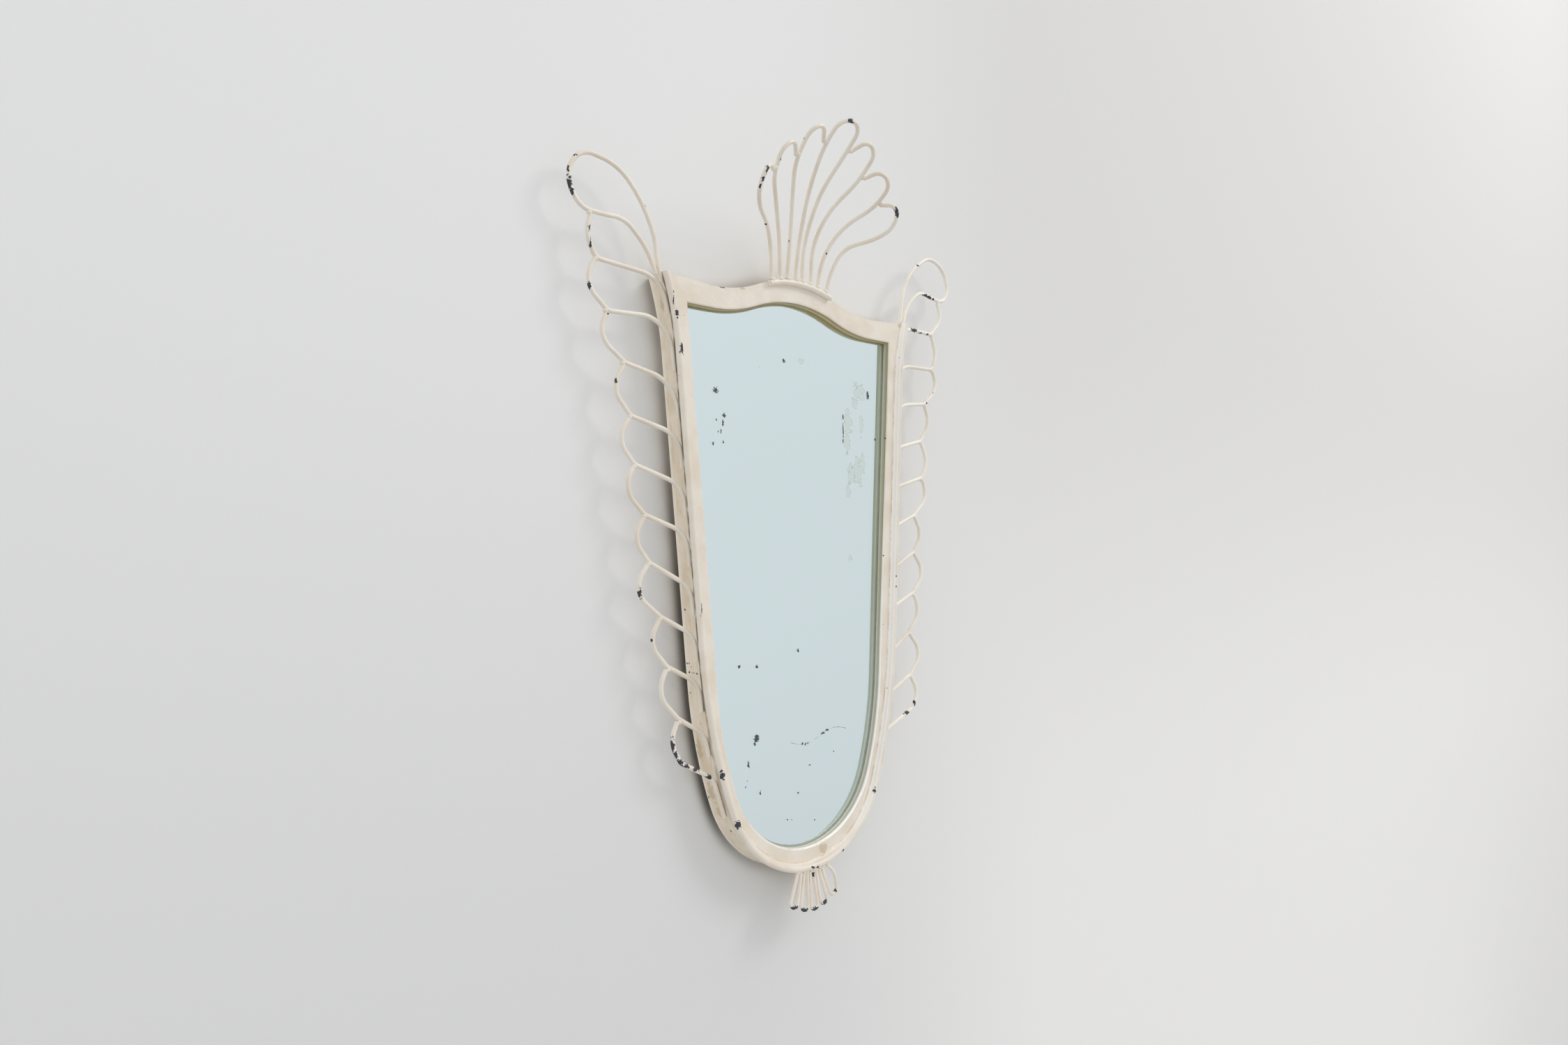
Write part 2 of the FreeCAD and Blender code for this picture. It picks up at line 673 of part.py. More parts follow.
def tail_place(point):
    """Hang a tail point under the rim bar and lean it forward."""
    if point.z < 0:
        low_z = RIM_BOTTOM_Z - RIM_RADIUS + point.z
        return Vector(point.x, RIM_Y + math.tan(TAIL_LEAN) * point.z, low_z)
    centre_z = RIM_BOTTOM_Z + RIM_BOTTOM_RADIUS
    root_z = centre_z - math.sqrt(RIM_BOTTOM_RADIUS ** 2 - point.x ** 2)
    return Vector(point.x, RIM_Y, root_z)


def place_on_wall(shape, share):
    """Turn a fitting to the right-hand side wall and set it at its height."""
    z = CORNER_Z + OPENING_HEIGHT * share
    step = WIRE_DIAMETER
    lean = math.degrees(math.atan2(wall_x(z + step) - wall_x(z - step), 2 * step))
    placed = shape.copy()
    placed.rotate(ORIGIN, INTO_WALL, lean)
    reach = wall_x(z) - (WIRE_RADIUS + SHEET + WELD_GAP) / math.cos(math.radians(lean))
    placed.translate(Vector(reach, 0, z))
    return placed


def lug():
    """Give an angle lug whose foot lies on the side wall, with the wall at X = 0."""
    shelf_length = PIVOT_INSET + PIVOT_DIAMETER / 2 + LUG_MARGIN
    near = BOARD_BACK - SHEET
    shelf = Part.makeBox(shelf_length, SHEET, LUG_WIDTH, Vector(-shelf_length, near, -LUG_WIDTH / 2))
    foot = Part.makeBox(SHEET, LUG_FOOT, LUG_WIDTH, Vector(-SHEET, near, -LUG_WIDTH / 2))
    hole_start = Vector(-PIVOT_INSET, near - OVERRUN, 0)
    hole = Part.makeCylinder(PIVOT_DIAMETER / 2, OVERRUN * 2, hole_start, INTO_WALL)
    return shelf.fuse(foot).removeSplitter().cut(hole)


def turn_button():
    """Give a turn button that points inwards over the board, with the wall at X = 0."""
    near = BOARD_BACK + BUTTON_GAP
    pivot = Vector(-PIVOT_INSET, near, 0)
    tip = Vector(-PIVOT_INSET - BUTTON_LENGTH, near, 0)
    radius = BUTTON_WIDTH / 2
    root = Part.makeCylinder(radius, BUTTON_THICKNESS, pivot, INTO_WALL)
    end = Part.makeCylinder(radius, BUTTON_THICKNESS, tip, INTO_WALL)
    body = Part.makeBox(BUTTON_LENGTH, BUTTON_THICKNESS, BUTTON_WIDTH, tip - Vector(0, 0, radius))
    bore_radius = PIVOT_DIAMETER / 2 + PIVOT_CLEARANCE
    bore = Part.makeCylinder(bore_radius, OVERRUN * 2, pivot - INTO_WALL * OVERRUN, INTO_WALL)
    return root.fuse([end, body]).removeSplitter().cut(bore)


def pivot_screw():
    """Give the round-headed screw that a turn button turns on."""
    start = Vector(-PIVOT_INSET, BOARD_BACK - SHEET, 0)
    length = SHEET + 2 * BUTTON_GAP + BUTTON_THICKNESS
    shank = Part.makeCylinder(PIVOT_DIAMETER / 2, length, start, INTO_WALL)
    head = Part.makeCylinder(HEAD_DIAMETER / 2, HEAD_HEIGHT, start + INTO_WALL * length, INTO_WALL)
    rounded = head.makeFillet(HEAD_HEIGHT / 2, [head.Edges[0]])
    return shank.fuse(rounded).removeSplitter()


def hanger():
    """Give the right-hand corner plate with its hanging hole."""
    x = OPENING_HALF_WIDTH - HOLE_INSET
    points = [at(x + HANGER_WIDTH / 2 * u, HANGER_DROP * v) for u, v in HANGER_SHARES]
    wire = Part.makePolygon(points + [points[0]])
    face = Part.Face(wire)
    face.translate(Vector(0, -HANGER_THICKNESS, 0))
    plate = face.extrude(Vector(0, HANGER_THICKNESS, 0))
    hole = Part.makeCylinder(HOLE_DIAMETER / 2, OVERRUN, Vector(x, -OVERRUN / 2, 0), INTO_WALL)
    return plate.common(inner_room(-HANGER_THICKNESS, 0)).cut(hole)


def mirrored(shape):
    """Give a right-hand piece's left-hand twin."""
    return shape.mirror(ORIGIN, ACROSS)


def build():
    """Give every node of the mirror by name."""
    plate = face_plate()
    rebate = rebate_ring()
    nodes = {
        "face_sides": lower_part(plate),
        "face_top_rail": upper_part(plate),
        "rebate_sides": lower_part(rebate),
        "rebate_top": upper_part(rebate),
        "side_wall": side_wall(),
        "top_wall": top_wall(),
        "rim_bar": rim_bar(),
        "mirror_glass": pane(GLASS_LAP, GLASS_Y, GLASS_THICKNESS),
        "backing_board": pane(BOARD_LAP, BOARD_Y, BOARD_THICKNESS),
        "crest_base_rod": round_wire(base_rod_path(), BASE_ROD_DIAMETER),
    }
    inner = crest_centre_path()
    nodes["crest_arch_centre"] = round_wire(inner, WIRE_DIAMETER)
    arches = {"inner": CREST_INNER_SHARES, "middle": CREST_MIDDLE_SHARES, "outer": CREST_OUTER_SHARES}
    for name, shares in arches.items():
        inner = crest_side_path(shares, inner)
        arch = round_wire(inner, WIRE_DIAMETER)
        nodes["crest_arch_right_" + name] = arch
        nodes["crest_arch_left_" + name] = mirrored(arch)
    right_wing = Wing(RIGHT_LOOP_SHARES, RIGHT_START_SHARE, RIGHT_REACH_SHARES, RIGHT_FALL_SHARES,
                      RIGHT_BOW_SHARES, RIGHT_DROP_SHARES)
    left_wing = Wing(LEFT_LOOP_SHARES, LEFT_START_SHARE, LEFT_REACH_SHARES, LEFT_FALL_SHARES,
                     LEFT_BOW_SHARES, LEFT_DROP_SHARES)
    for number, wire in enumerate(right_wing.wires(), 1):
        nodes[f"right_wing_wire_{number:02d}"] = wire
    for number, wire in enumerate(left_wing.wires(), 1):
        nodes[f"left_wing_wire_{number:02d}"] = mirrored(wire)
    for index in range(len(TAIL_TIP_SHARES)):
        nodes[f"tail_loop_{index + 1}"] = tail_loop(index)
    lugs = []
    screws = []
    for number, share in enumerate(BUTTON_HEIGHT_SHARES, 1):
        button = place_on_wall(turn_button(), share)
        nodes[f"turn_button_right_{number}"] = button
        nodes[f"turn_button_left_{number}"] = mirrored(button)
        for group, shape in ((lugs, lug()), (screws, pivot_screw())):
            placed = place_on_wall(shape, share)
            group.extend([placed, mirrored(placed)])
    nodes["board_lugs"] = Part.makeCompound(lugs)
    nodes["pivot_screws"] = Part.makeCompound(screws)
    plates = [hanger(), mirrored(hanger())]
    nodes["hanger_plates"] = Part.makeCompound(plates)
    return nodes


def main():
    """Write one file for each node."""
    os.makedirs("parts", exist_ok=True)
    for name, shape in build().items():
        shape.exportStep(f"parts/{name}.step")
        box = shape.BoundBox
        print(f"{name}: {len(shape.Solids)} solid(s), volume {shape.Volume:.0f}, valid {shape.isValid()}, "
              f"Z {box.ZMin:.1f} to {box.ZMax:.1f}")


main()
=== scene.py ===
"""Dresses the wall mirror: thick cream enamel on iron, old silvering, and a pale room.

A ramp holds the two values between which its result changes, and then the two results where
they aren't 0 and 1.
"""

import logging
import math
from dataclasses import dataclass
from enum import Enum
from functools import reduce

import bpy
from mathutils import Matrix, Vector
from mathutils.bvhtree import BVHTree

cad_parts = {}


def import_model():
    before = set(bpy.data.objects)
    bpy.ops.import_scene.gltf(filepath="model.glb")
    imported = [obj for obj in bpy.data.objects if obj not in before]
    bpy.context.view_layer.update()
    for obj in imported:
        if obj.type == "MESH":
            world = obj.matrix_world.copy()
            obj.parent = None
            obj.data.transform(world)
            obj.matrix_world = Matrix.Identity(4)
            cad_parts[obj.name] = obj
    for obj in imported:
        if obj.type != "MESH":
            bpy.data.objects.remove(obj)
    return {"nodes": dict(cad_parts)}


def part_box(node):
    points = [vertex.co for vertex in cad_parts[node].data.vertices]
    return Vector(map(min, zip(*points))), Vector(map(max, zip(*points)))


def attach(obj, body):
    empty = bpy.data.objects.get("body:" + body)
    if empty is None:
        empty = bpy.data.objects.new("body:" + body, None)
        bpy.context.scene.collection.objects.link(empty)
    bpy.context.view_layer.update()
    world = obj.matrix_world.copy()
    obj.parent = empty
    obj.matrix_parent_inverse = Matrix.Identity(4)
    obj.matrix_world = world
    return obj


Tree = bpy.types.NodeTree
Node = bpy.types.Node
Socket = bpy.types.NodeSocket
Input = Node | Socket | float | tuple
Ramp = tuple[float, ...]
Grain = tuple[float, float]
Piece = bpy.types.Object
Material = bpy.types.Material
Triple = tuple[float, float, float]

MM = 0.001
FRAME_BODY = "frame"
WIRES = 12
BUTTONS = 3
LOOPS = 5
ARCHES = ("outer", "middle", "inner")
MARGIN = "margin_mm"
WELD_REACH = 0.9 * MM
PANE_BACK_MM = -19.6
THROUGH_MM = 30.0
NEAR_SAMPLES = 6
USUAL = {"MapRange": {"interpolation_type": "SMOOTHSTEP"}, "Mix": {"data_type": "RGBA"}}
TIMES = {"operation": "MULTIPLY"}
log = logging.getLogger("wall_mirror")


class Side(Enum):
    """The two sides of the mirror, as seen from the front."""

    LEFT = "left"
    RIGHT = "right"


# The right wing's cream is lighter as painted light: its wires catch more light than the left ones.
WING_CREAMS_RIGHT_LIT = {Side.LEFT: ("E5DDD0", "DCD1C0"), Side.RIGHT: ("EEE8DC", "E2DACC")}


@dataclass(frozen=True)
class Patch:
    """An oval place on a surface, in millimetres.

    Attributes:
        place: its middle.
        radii: its half sizes along X, Y and Z.
    """

    place: Triple
    radii: Triple


Spots = tuple[Patch, ...]


def patches(*rows: tuple[float, ...]) -> Spots:
    """Make oval patches from rows of a middle and three half sizes, in millimetres."""
    return tuple(Patch(row[:3], row[3:]) for row in rows)


def linear(code: str) -> tuple[float, float, float, float]:
    """Turn an sRGB hex colour into linear values.

    Args:
        code: six hex digits.

    Returns:
        Red, green, blue and an alpha of one.
    """
    parts = [int(code[place : place + 2], 16) / 255 for place in (0, 2, 4)]
    bent = [part / 12.92 if part <= 0.04045 else ((part + 0.055) / 1.055) ** 2.4 for part in parts]
    return (*bent, 1.0)


def per_mm(size: float) -> float:
    """Give the scale of a texture whose features are so many millimetres apart."""
    return 1 / (size * MM)


def mm_ramp(low: float, high: float, *results: float) -> Ramp:
    """Give a ramp over a length in millimetres."""
    return (low * MM, high * MM, *results)


def grain(size_mm: float, detail: float) -> Grain:
    """Give the scale and the detail of a noise whose features are so many millimetres apart."""
    return (per_mm(size_mm), detail)


def add(tree: Tree, kind: str, *inputs: Input, named: dict[str, Input] | None = None, **settings) -> Node:
    """Add a node with its settings and links.

    Args:
        tree: the node tree.
        kind: the node's type without its leading word.
        inputs: what goes into the node's live inputs, in their order. A node stands for its
            first live output.
        named: what goes into inputs that are called by name.
        settings: the node's own properties, over those that are usual for its type.

    Returns:
        The new node.
    """
    node = tree.nodes.new("ShaderNode" + kind)
    for name, value in (USUAL.get(kind, {}) | settings).items():
        setattr(node, name, value)
    pairs = list(zip((socket for socket in node.inputs if socket.enabled), inputs))
    pairs += [(node.inputs[name], value) for name, value in (named or {}).items()]
    for socket, value in pairs:
        if isinstance(value, Node):
            value = next(output for output in value.outputs if output.enabled)
        if isinstance(value, Socket):
            tree.links.new(value, socket)
        else:
            socket.default_value = value
    return node


def blank(name: str) -> tuple[Material, Tree]:
    """Make a material with an empty node tree."""
    material = bpy.data.materials.new(name)
    material.use_nodes = True
    material.node_tree.nodes.clear()
    return material, material.node_tree


def nearness(tree: Tree, place: Socket, spots: Spots) -> Node:
    """Give how far a place is from the nearest oval patch, where 1 is the patch's edge.

    Args:
        tree: the node tree.
        place: where to measure.
        spots: the patches.

    Returns:
        The node that gives it.
    """
    nearest = None
    for spot in spots:
        centre = tuple(value * MM for value in spot.place)
        shrink = tuple(per_mm(value) for value in spot.radii)
        gap = add(tree, "VectorMath", place, centre, operation="SUBTRACT")
        scaled = add(tree, "VectorMath", gap, shrink, **TIMES)
        away = add(tree, "VectorMath", scaled, operation="LENGTH")
        nearest = away if nearest is None else add(tree, "Math", nearest, away, operation="MINIMUM")
    return nearest


def blotches(tree: Tree, place: Input, size: Grain, ramp: Ramp) -> Node:
    """Give a mask of soft blotches of a size, as a ramp over noise."""
    return add(tree, "MapRange", add(tree, "TexNoise", place, *size), *ramp)


def close_by(tree: Tree, reach: float, ramp: Ramp, samples: int = NEAR_SAMPLES) -> Node:
    """Give a mask of the places with something near, as a ramp over how open they are.

    Args:
        tree: the node tree.
        reach: how far off a surface still counts, in metres.
        ramp: the ramp, where an open place has 1.
        samples: how many rays look for it.

    Returns:
        The node that gives it.
    """
    openness = add(tree, "AmbientOcclusion", named={"Distance": reach}, samples=samples)
    return add(tree, "MapRange", openness.outputs["AO"], *ramp)


def facing(tree: Tree) -> bpy.types.bpy_prop_collection:
    """Give how much the surface faces along X, Y and Z."""
    return add(tree, "SeparateXYZ", add(tree, "NewGeometry").outputs["Normal"]).outputs


def product(tree: Tree, *masks: Input) -> Node:
    """Multiply masks with one another."""
    return reduce(lambda one, other: add(tree, "Math", one, other, **TIMES), masks)


def layered(tree: Tree, colour: Input, *layers: tuple[Input, str]) -> Input:
    """Lay colours over a colour, each in hex digits and through its mask."""
    for mask, code in layers:
        colour = add(tree, "Mix", mask, colour, linear(code))
    return colour


def dots(tree: Tree, place: Socket, cell_mm: float, edge: Ramp, chosen: Ramp) -> Node:
    """Give a mask of tiny dots, one in each cell of a pattern whose random tone passes a ramp."""
    cells = add(tree, "TexVoronoi", place, per_mm(cell_mm)).outputs
    shown = add(tree, "MapRange", add(tree, "SeparateColor", cells["Color"]), *chosen)
    return product(tree, add(tree, "MapRange", cells["Distance"], *edge), shown)


class Finish:
    """A real finish, built as one principled material."""

    name: str

    def make(self) -> Material:
        """Build the material."""
        material, tree = blank(self.name)
        place = add(tree, "TexCoord").outputs["Object"]
        add(tree, "OutputMaterial", add(tree, "BsdfPrincipled", named=self.sockets(tree, place)))
        return material

    def sockets(self, tree: Tree, place: Socket) -> dict[str, Input]:
        """Give what goes into the shader, by the names of its inputs."""
        raise NotImplementedError


@dataclass(frozen=True)
class Enamel(Finish):
    """Oil enamel brushed thickly over iron.

    To the eye: warm cream with a soft gloss, brush lumps, paler painted light in hollows, tan painted
    shade and dirt in the corners, painted highlights on the sheet's edge and the bar's flank, and
    chips down to near-black iron with a pale undercoat at their edges.
    """

    name: str
    chips: Spots = ()
    stains: Spots = ()
    seam: Ramp | None = None
    inner_olive: bool = False
    streaky: bool = False
    cream: str = "E5DDD0"
    shaded_cream: str = "DCD1C0"
    # Painted light: a paler cream laid where the coat lies in a hollow.
    hollow_painted_light: str = "F6EDE0"
    # Painted shade and dirt: a tan darkening in corners.
    corner_shade_and_dirt: str = "7D6548"
    # Painted shade and dirt for the dark gap of the seam.
    seam_shade_and_dirt: str = "5E4C38"
    undercoat: str = "ECECEA"
    iron: str = "33333A"
    stain: str = "BFAA86"
    inner_low: str = "A6AA84"
    inner_high: str = "A39265"
    # Painted highlight for the sheet's rolled front and painted light for the bar's flank.
    painted_highlight: str = "FFFDF7"
    foot: str = "CDB595"
    ior: float = 1.5
    gloss: Ramp = (0.0, 1.0, 0.34, 0.6)
    middle_z_mm: float = -280.0
    # The mottle of the coat, painted light that makes hollows paler, and tan streaks that run down it.
    mottle: Grain = grain(38.0, 4.0)
    mottled: Ramp = (0.35, 0.7)
    hollow_reach: float = 12.0 * MM
    hollow_light_ramp: Ramp = (0.85, 0.45)
    streak: Grain = grain(4.0, 4.0)
    streak_shape: Triple = (1.0, 1.0, 0.14)
    streaked: Ramp = (0.5, 0.75, 0.0, 0.42)
    # Painted shade and dirt in the corners, but not on a back that lies on the wall.
    corner_reach: float = 2.6 * MM
    cornered: Ramp = (0.6, 0.15)
    uneven: Ramp = (0.3, 0.75, 0.35, 0.85)
    off_the_back: Ramp = (0.9, 0.6)
    # The seam beside the wire runs, darkened with painted shade and dirt: only where the surface faces
    # away from the middle.
    seam_gap: Grain = grain(19.0, 3.0)
    seam_broken: Ramp = (0.3, 0.6, 0.3, 0.95)
    seam_facing: float = 0.03
    seam_heights: tuple[Ramp, ...] = (
        mm_ramp(-575.0, -530.0),
        mm_ramp(45.0, 30.0),
        mm_ramp(-500.0, -380.0, 0.4, 1.0),
    )
    # The sheet's inner edge, whose rolled front is deeper low down and carries a painted highlight, and
    # painted light on the raised bar's flank.
    sheet_y_mm: float = -32.0
    behind_lip: Ramp = mm_ramp(-31.2, -30.9)
    deep_lip_mm: float = 1.8
    lower_lip: Ramp = mm_ramp(-50.0, -450.0)
    inner_facing: float = -0.02
    overhead: Ramp = (-0.3, -0.8)
    right_hand: Ramp = (0.5, -0.3)
    flank: Ramp = (0.0, -0.05)
    flank_y: Ramp = mm_ramp(-32.0, -32.3)
    flank_left: Ramp = (-0.25, -0.75, 0.0, 0.8)
    foot_y: Ramp = mm_ramp(-33.2, -32.7, 0.0, 0.8)
    foot_gap: Grain = grain(12.667, 3.0)
    foot_broken: Ramp = (0.35, 0.65)
    # Stains, pinholes in some cells of a pattern, and chips with ragged edges.
    stain_ragged: Ramp = (0.2, 0.8, -0.5, 0.5)
    stained: Ramp = (1.05, 0.6, 0.0, 0.62)
    speck_cell_mm: float = 13.0
    speck: Ramp = (0.055, 0.035)
    speck_chosen: Ramp = (0.78, 0.7801)
    ragged: Grain = grain(2.6, 4.0)
    chip_ragged: Ramp = (0.25, 0.75, -0.62, 0.62)
    chip_edge: Ramp = (1.06, 0.98)
    rim: Ramp = (1.3, 1.05)
    rim_broken: Ramp = (0.42, 0.5)
    rim_share: float = 0.8
    # Brush lumps, orange peel and the depth of bare iron, as shares of the bump's height.
    height_mm: float = 0.38
    lump: Grain = grain(5.0, 3.0)
    lump_share: float = 0.75
    peel: Grain = grain(1.3, 1.0)
    peel_share: float = 0.12
    bare_share: float = -0.8

    def sockets(self, tree: Tree, place: Socket) -> dict[str, Input]:
        """Give the shader's inputs."""
        lumps = add(tree, "TexNoise", place, *self.lump)
        colour = self.coat(tree, place, lumps)
        if self.seam is not None:
            # Painted shade and dirt darken the seam beside the wire runs.
            colour = layered(tree, colour, (self.seam_shade_mask(tree, place), self.seam_shade_and_dirt))
        if self.inner_olive:
            colour = self.olive_edge(tree, place, self.painted_flank_light(tree, place, colour))
        if self.stains:
            ragged = add(tree, "MapRange", lumps, *self.stain_ragged)
            blot = add(tree, "Math", nearness(tree, place, self.stains), ragged, operation="ADD")
            blot = add(tree, "MapRange", blot, *self.stained)
            colour = layered(tree, colour, (blot, self.stain))
        bare = dots(tree, place, self.speck_cell_mm, self.speck, self.speck_chosen)
        colour = layered(tree, colour, (bare, self.iron))
        if self.chips:
            colour, chip = self.chipped(tree, place, colour)
            bare = add(tree, "Math", chip, bare, operation="MAXIMUM")
        peel = add(tree, "TexNoise", place, *self.peel)
        height = add(tree, "Math", lumps, self.lump_share, **TIMES)
        height = add(tree, "Math", peel, self.peel_share, height, operation="MULTIPLY_ADD")
        height = add(tree, "Math", bare, self.bare_share, height, operation="MULTIPLY_ADD")
        bump = add(tree, "Bump", named={"Distance": self.height_mm * MM, "Height": height})
        return {
            "Base Color": colour,
            "Roughness": add(tree, "MapRange", bare, *self.gloss),
            "IOR": self.ior,
            "Normal": bump,
        }

    def coat(self, tree: Tree, place: Socket, lumps: Node) -> Input:
        """Give the colour of the cream with its mottle, painted light in hollows, streaks, and painted
        shade and dirt in the corners.
        """
        layers = [
            (blotches(tree, place, self.mottle, self.mottled), self.shaded_cream),
            # Painted light: places near another surface are made paler.
            (close_by(tree, self.hollow_reach, self.hollow_light_ramp), self.hollow_painted_light),
        ]
        if self.streaky:
            drawn = add(tree, "VectorMath", place, self.streak_shape, **TIMES)
            layers.append((blotches(tree, drawn, self.streak, self.streaked), self.stain))
        # Painted shade and dirt: corners near another surface are darkened unevenly in tan.
        corner_shade_and_grime = product(
            tree,
            close_by(tree, self.corner_reach, self.cornered),
            add(tree, "MapRange", lumps, *self.uneven),
            add(tree, "MapRange", facing(tree)["Y"], *self.off_the_back),
        )
        return layered(tree, linear(self.cream), *layers, (corner_shade_and_grime, self.corner_shade_and_dirt))

    def outwards(self, tree: Tree, place: Socket) -> Node:
        """Give how much the surface faces away from the mirror's middle, in metres."""
        away = add(tree, "VectorMath", place, (0.0, 0.0, self.middle_z_mm * MM), operation="SUBTRACT")
        normal = add(tree, "NewGeometry").outputs["Normal"]
        return add(tree, "VectorMath", normal, away, operation="DOT_PRODUCT")

    def seam_shade_mask(self, tree: Tree, place: Socket) -> Node:
        """Give the mask of the painted shade and dirt in the seam between the wire runs and the face."""
        axes = add(tree, "SeparateXYZ", place).outputs
        return product(
            tree,
            add(tree, "MapRange", axes["Y"], *self.seam),
            blotches(tree, place, self.seam_gap, self.seam_broken),
            add(tree, "Math", self.outwards(tree, place), self.seam_facing, operation="GREATER_THAN"),
            *(add(tree, "MapRange", axes["Z"], *height) for height in self.seam_heights),
        )

    def painted_flank_light(self, tree: Tree, place: Socket, colour: Input) -> Input:
        """Paint light on the bar's inner flank where it faces left, over a broken tan line at its foot."""
        depth = add(tree, "SeparateXYZ", place).outputs["Y"]
        flank = add(tree, "MapRange", self.outwards(tree, place), *self.flank)
        flank = product(tree, flank, add(tree, "MapRange", depth, *self.flank_y))
        # Painted light: the flank is lightened where it faces left.
        flank_light = product(tree, flank, add(tree, "MapRange", facing(tree)["X"], *self.flank_left))
        broken = blotches(tree, place, self.foot_gap, self.foot_broken)
        foot = product(tree, flank, add(tree, "MapRange", depth, *self.foot_y), broken)
        return layered(tree, colour, (flank_light, self.painted_highlight), (foot, self.foot))

    def olive_edge(self, tree: Tree, place: Socket, colour: Input) -> Node:
        """Lay the rebate's olive over the inner edge of the sheet, behind its rolled front, with a painted
        highlight on that front low down where it faces left.
        """
        axes = add(tree, "SeparateXYZ", place).outputs
        turned = facing(tree)
        lower = add(tree, "MapRange", axes["Z"], *self.lower_lip)
        depth = add(tree, "Math", lower, -self.deep_lip_mm * MM, axes["Y"], operation="MULTIPLY_ADD")
        behind = add(tree, "MapRange", depth, *self.behind_lip)
        over = add(tree, "MapRange", turned["Z"], *self.overhead)
        olive = layered(tree, linear(self.inner_low), (over, self.inner_high))
        # Painted highlight on the rolled front of the edge, low down where it faces left.
        lip_highlight = product(tree, lower, add(tree, "MapRange", turned["X"], *self.right_hand))
        edge = add(tree, "Mix", behind, layered(tree, colour, (lip_highlight, self.painted_highlight)), olive)
        inner = add(tree, "Math", self.outwards(tree, place), self.inner_facing, operation="LESS_THAN")
        sheet = add(tree, "Math", axes["Y"], self.sheet_y_mm * MM, operation="GREATER_THAN")
        return add(tree, "Mix", product(tree, inner, sheet), colour, edge)

    def chipped(self, tree: Tree, place: Socket, colour: Input) -> tuple[Input, Node]:
        """Give the colour with the chips and the rims of their undercoat, and the chips' mask."""
        ragged = add(tree, "TexNoise", place, *self.ragged)
        swing = add(tree, "MapRange", ragged, *self.chip_ragged)
        edge = add(tree, "Math", nearness(tree, place, self.chips), swing, operation="ADD")
        rim = add(tree, "MapRange", edge, *self.rim)
        rim = product(tree, rim, add(tree, "MapRange", ragged, *self.rim_broken), self.rim_share)
        chip = add(tree, "MapRange", edge, *self.chip_edge)
        return layered(tree, colour, (rim, self.undercoat), (chip, self.iron)), chip


@dataclass(frozen=True)
class OlivePaint(Finish):
    """Thin olive paint on the sheet iron of the rebate, dull and a little yellow at the top."""

    name: str = "olive_paint"
    low: str = "DFDDC2"
    lowest: str = "F1F1DE"
    high: str = "E4D3A0"
    dust: str = "E8E8D2"
    shade: str = "6E684C"
    overhead: Ramp = (-0.3, -0.8)
    lower: Ramp = mm_ramp(-250.0, -550.0)
    dust_size: Grain = grain(9.0, 5.0)
    dusty: Ramp = (0.5, 0.8, 0.0, 0.5)
    dull: Ramp = (0.3, 0.8, 0.4, 0.65)
    shaded: Ramp = mm_ramp(-24.2, -28.4)
    shade_share: float = 0.35
    shade_less_overhead: float = -0.1
    peel: Grain = grain(1.5, 2.0)
    height_mm: float = 0.15

    def sockets(self, tree: Tree, place: Socket) -> dict[str, Input]:
        """Give the shader's inputs."""
        axes = add(tree, "SeparateXYZ", place).outputs
        over = add(tree, "MapRange", facing(tree)["Z"], *self.overhead)
        dusted = add(tree, "TexNoise", place, *self.dust_size)
        under = add(tree, "MapRange", axes["Y"], *self.shaded)
        shares = (self.shade_less_overhead, self.shade_share)
        share = add(tree, "Math", over, *shares, operation="MULTIPLY_ADD")
        colour = layered(
            tree,
            linear(self.low),
            (add(tree, "MapRange", axes["Z"], *self.lower), self.lowest),
            (over, self.high),
            (add(tree, "MapRange", dusted, *self.dusty), self.dust),
            (product(tree, under, share), self.shade),
        )
        peel = add(tree, "TexNoise", place, *self.peel)
        return {
            "Base Color": colour,
            "Roughness": add(tree, "MapRange", dusted, *self.dull),
            "Normal": add(tree, "Bump", named={"Distance": self.height_mm * MM, "Height": peel}),
        }


@dataclass(frozen=True)
class PlateGlass(Finish):
    """Old plate glass in front of the silvering, clear with a cold blue-green cast."""

    name: str = "plate_glass"
    cast: str = "F7FDFD"
    ior: float = 1.52

    def sockets(self, tree: Tree, place: Socket) -> dict[str, Input]:
        """Give the shader's inputs."""
        return {
            "Base Color": linear(self.cast),
            "Roughness": 0.0,
            "IOR": self.ior,
            "Transmission Weight": 1.0,
        }


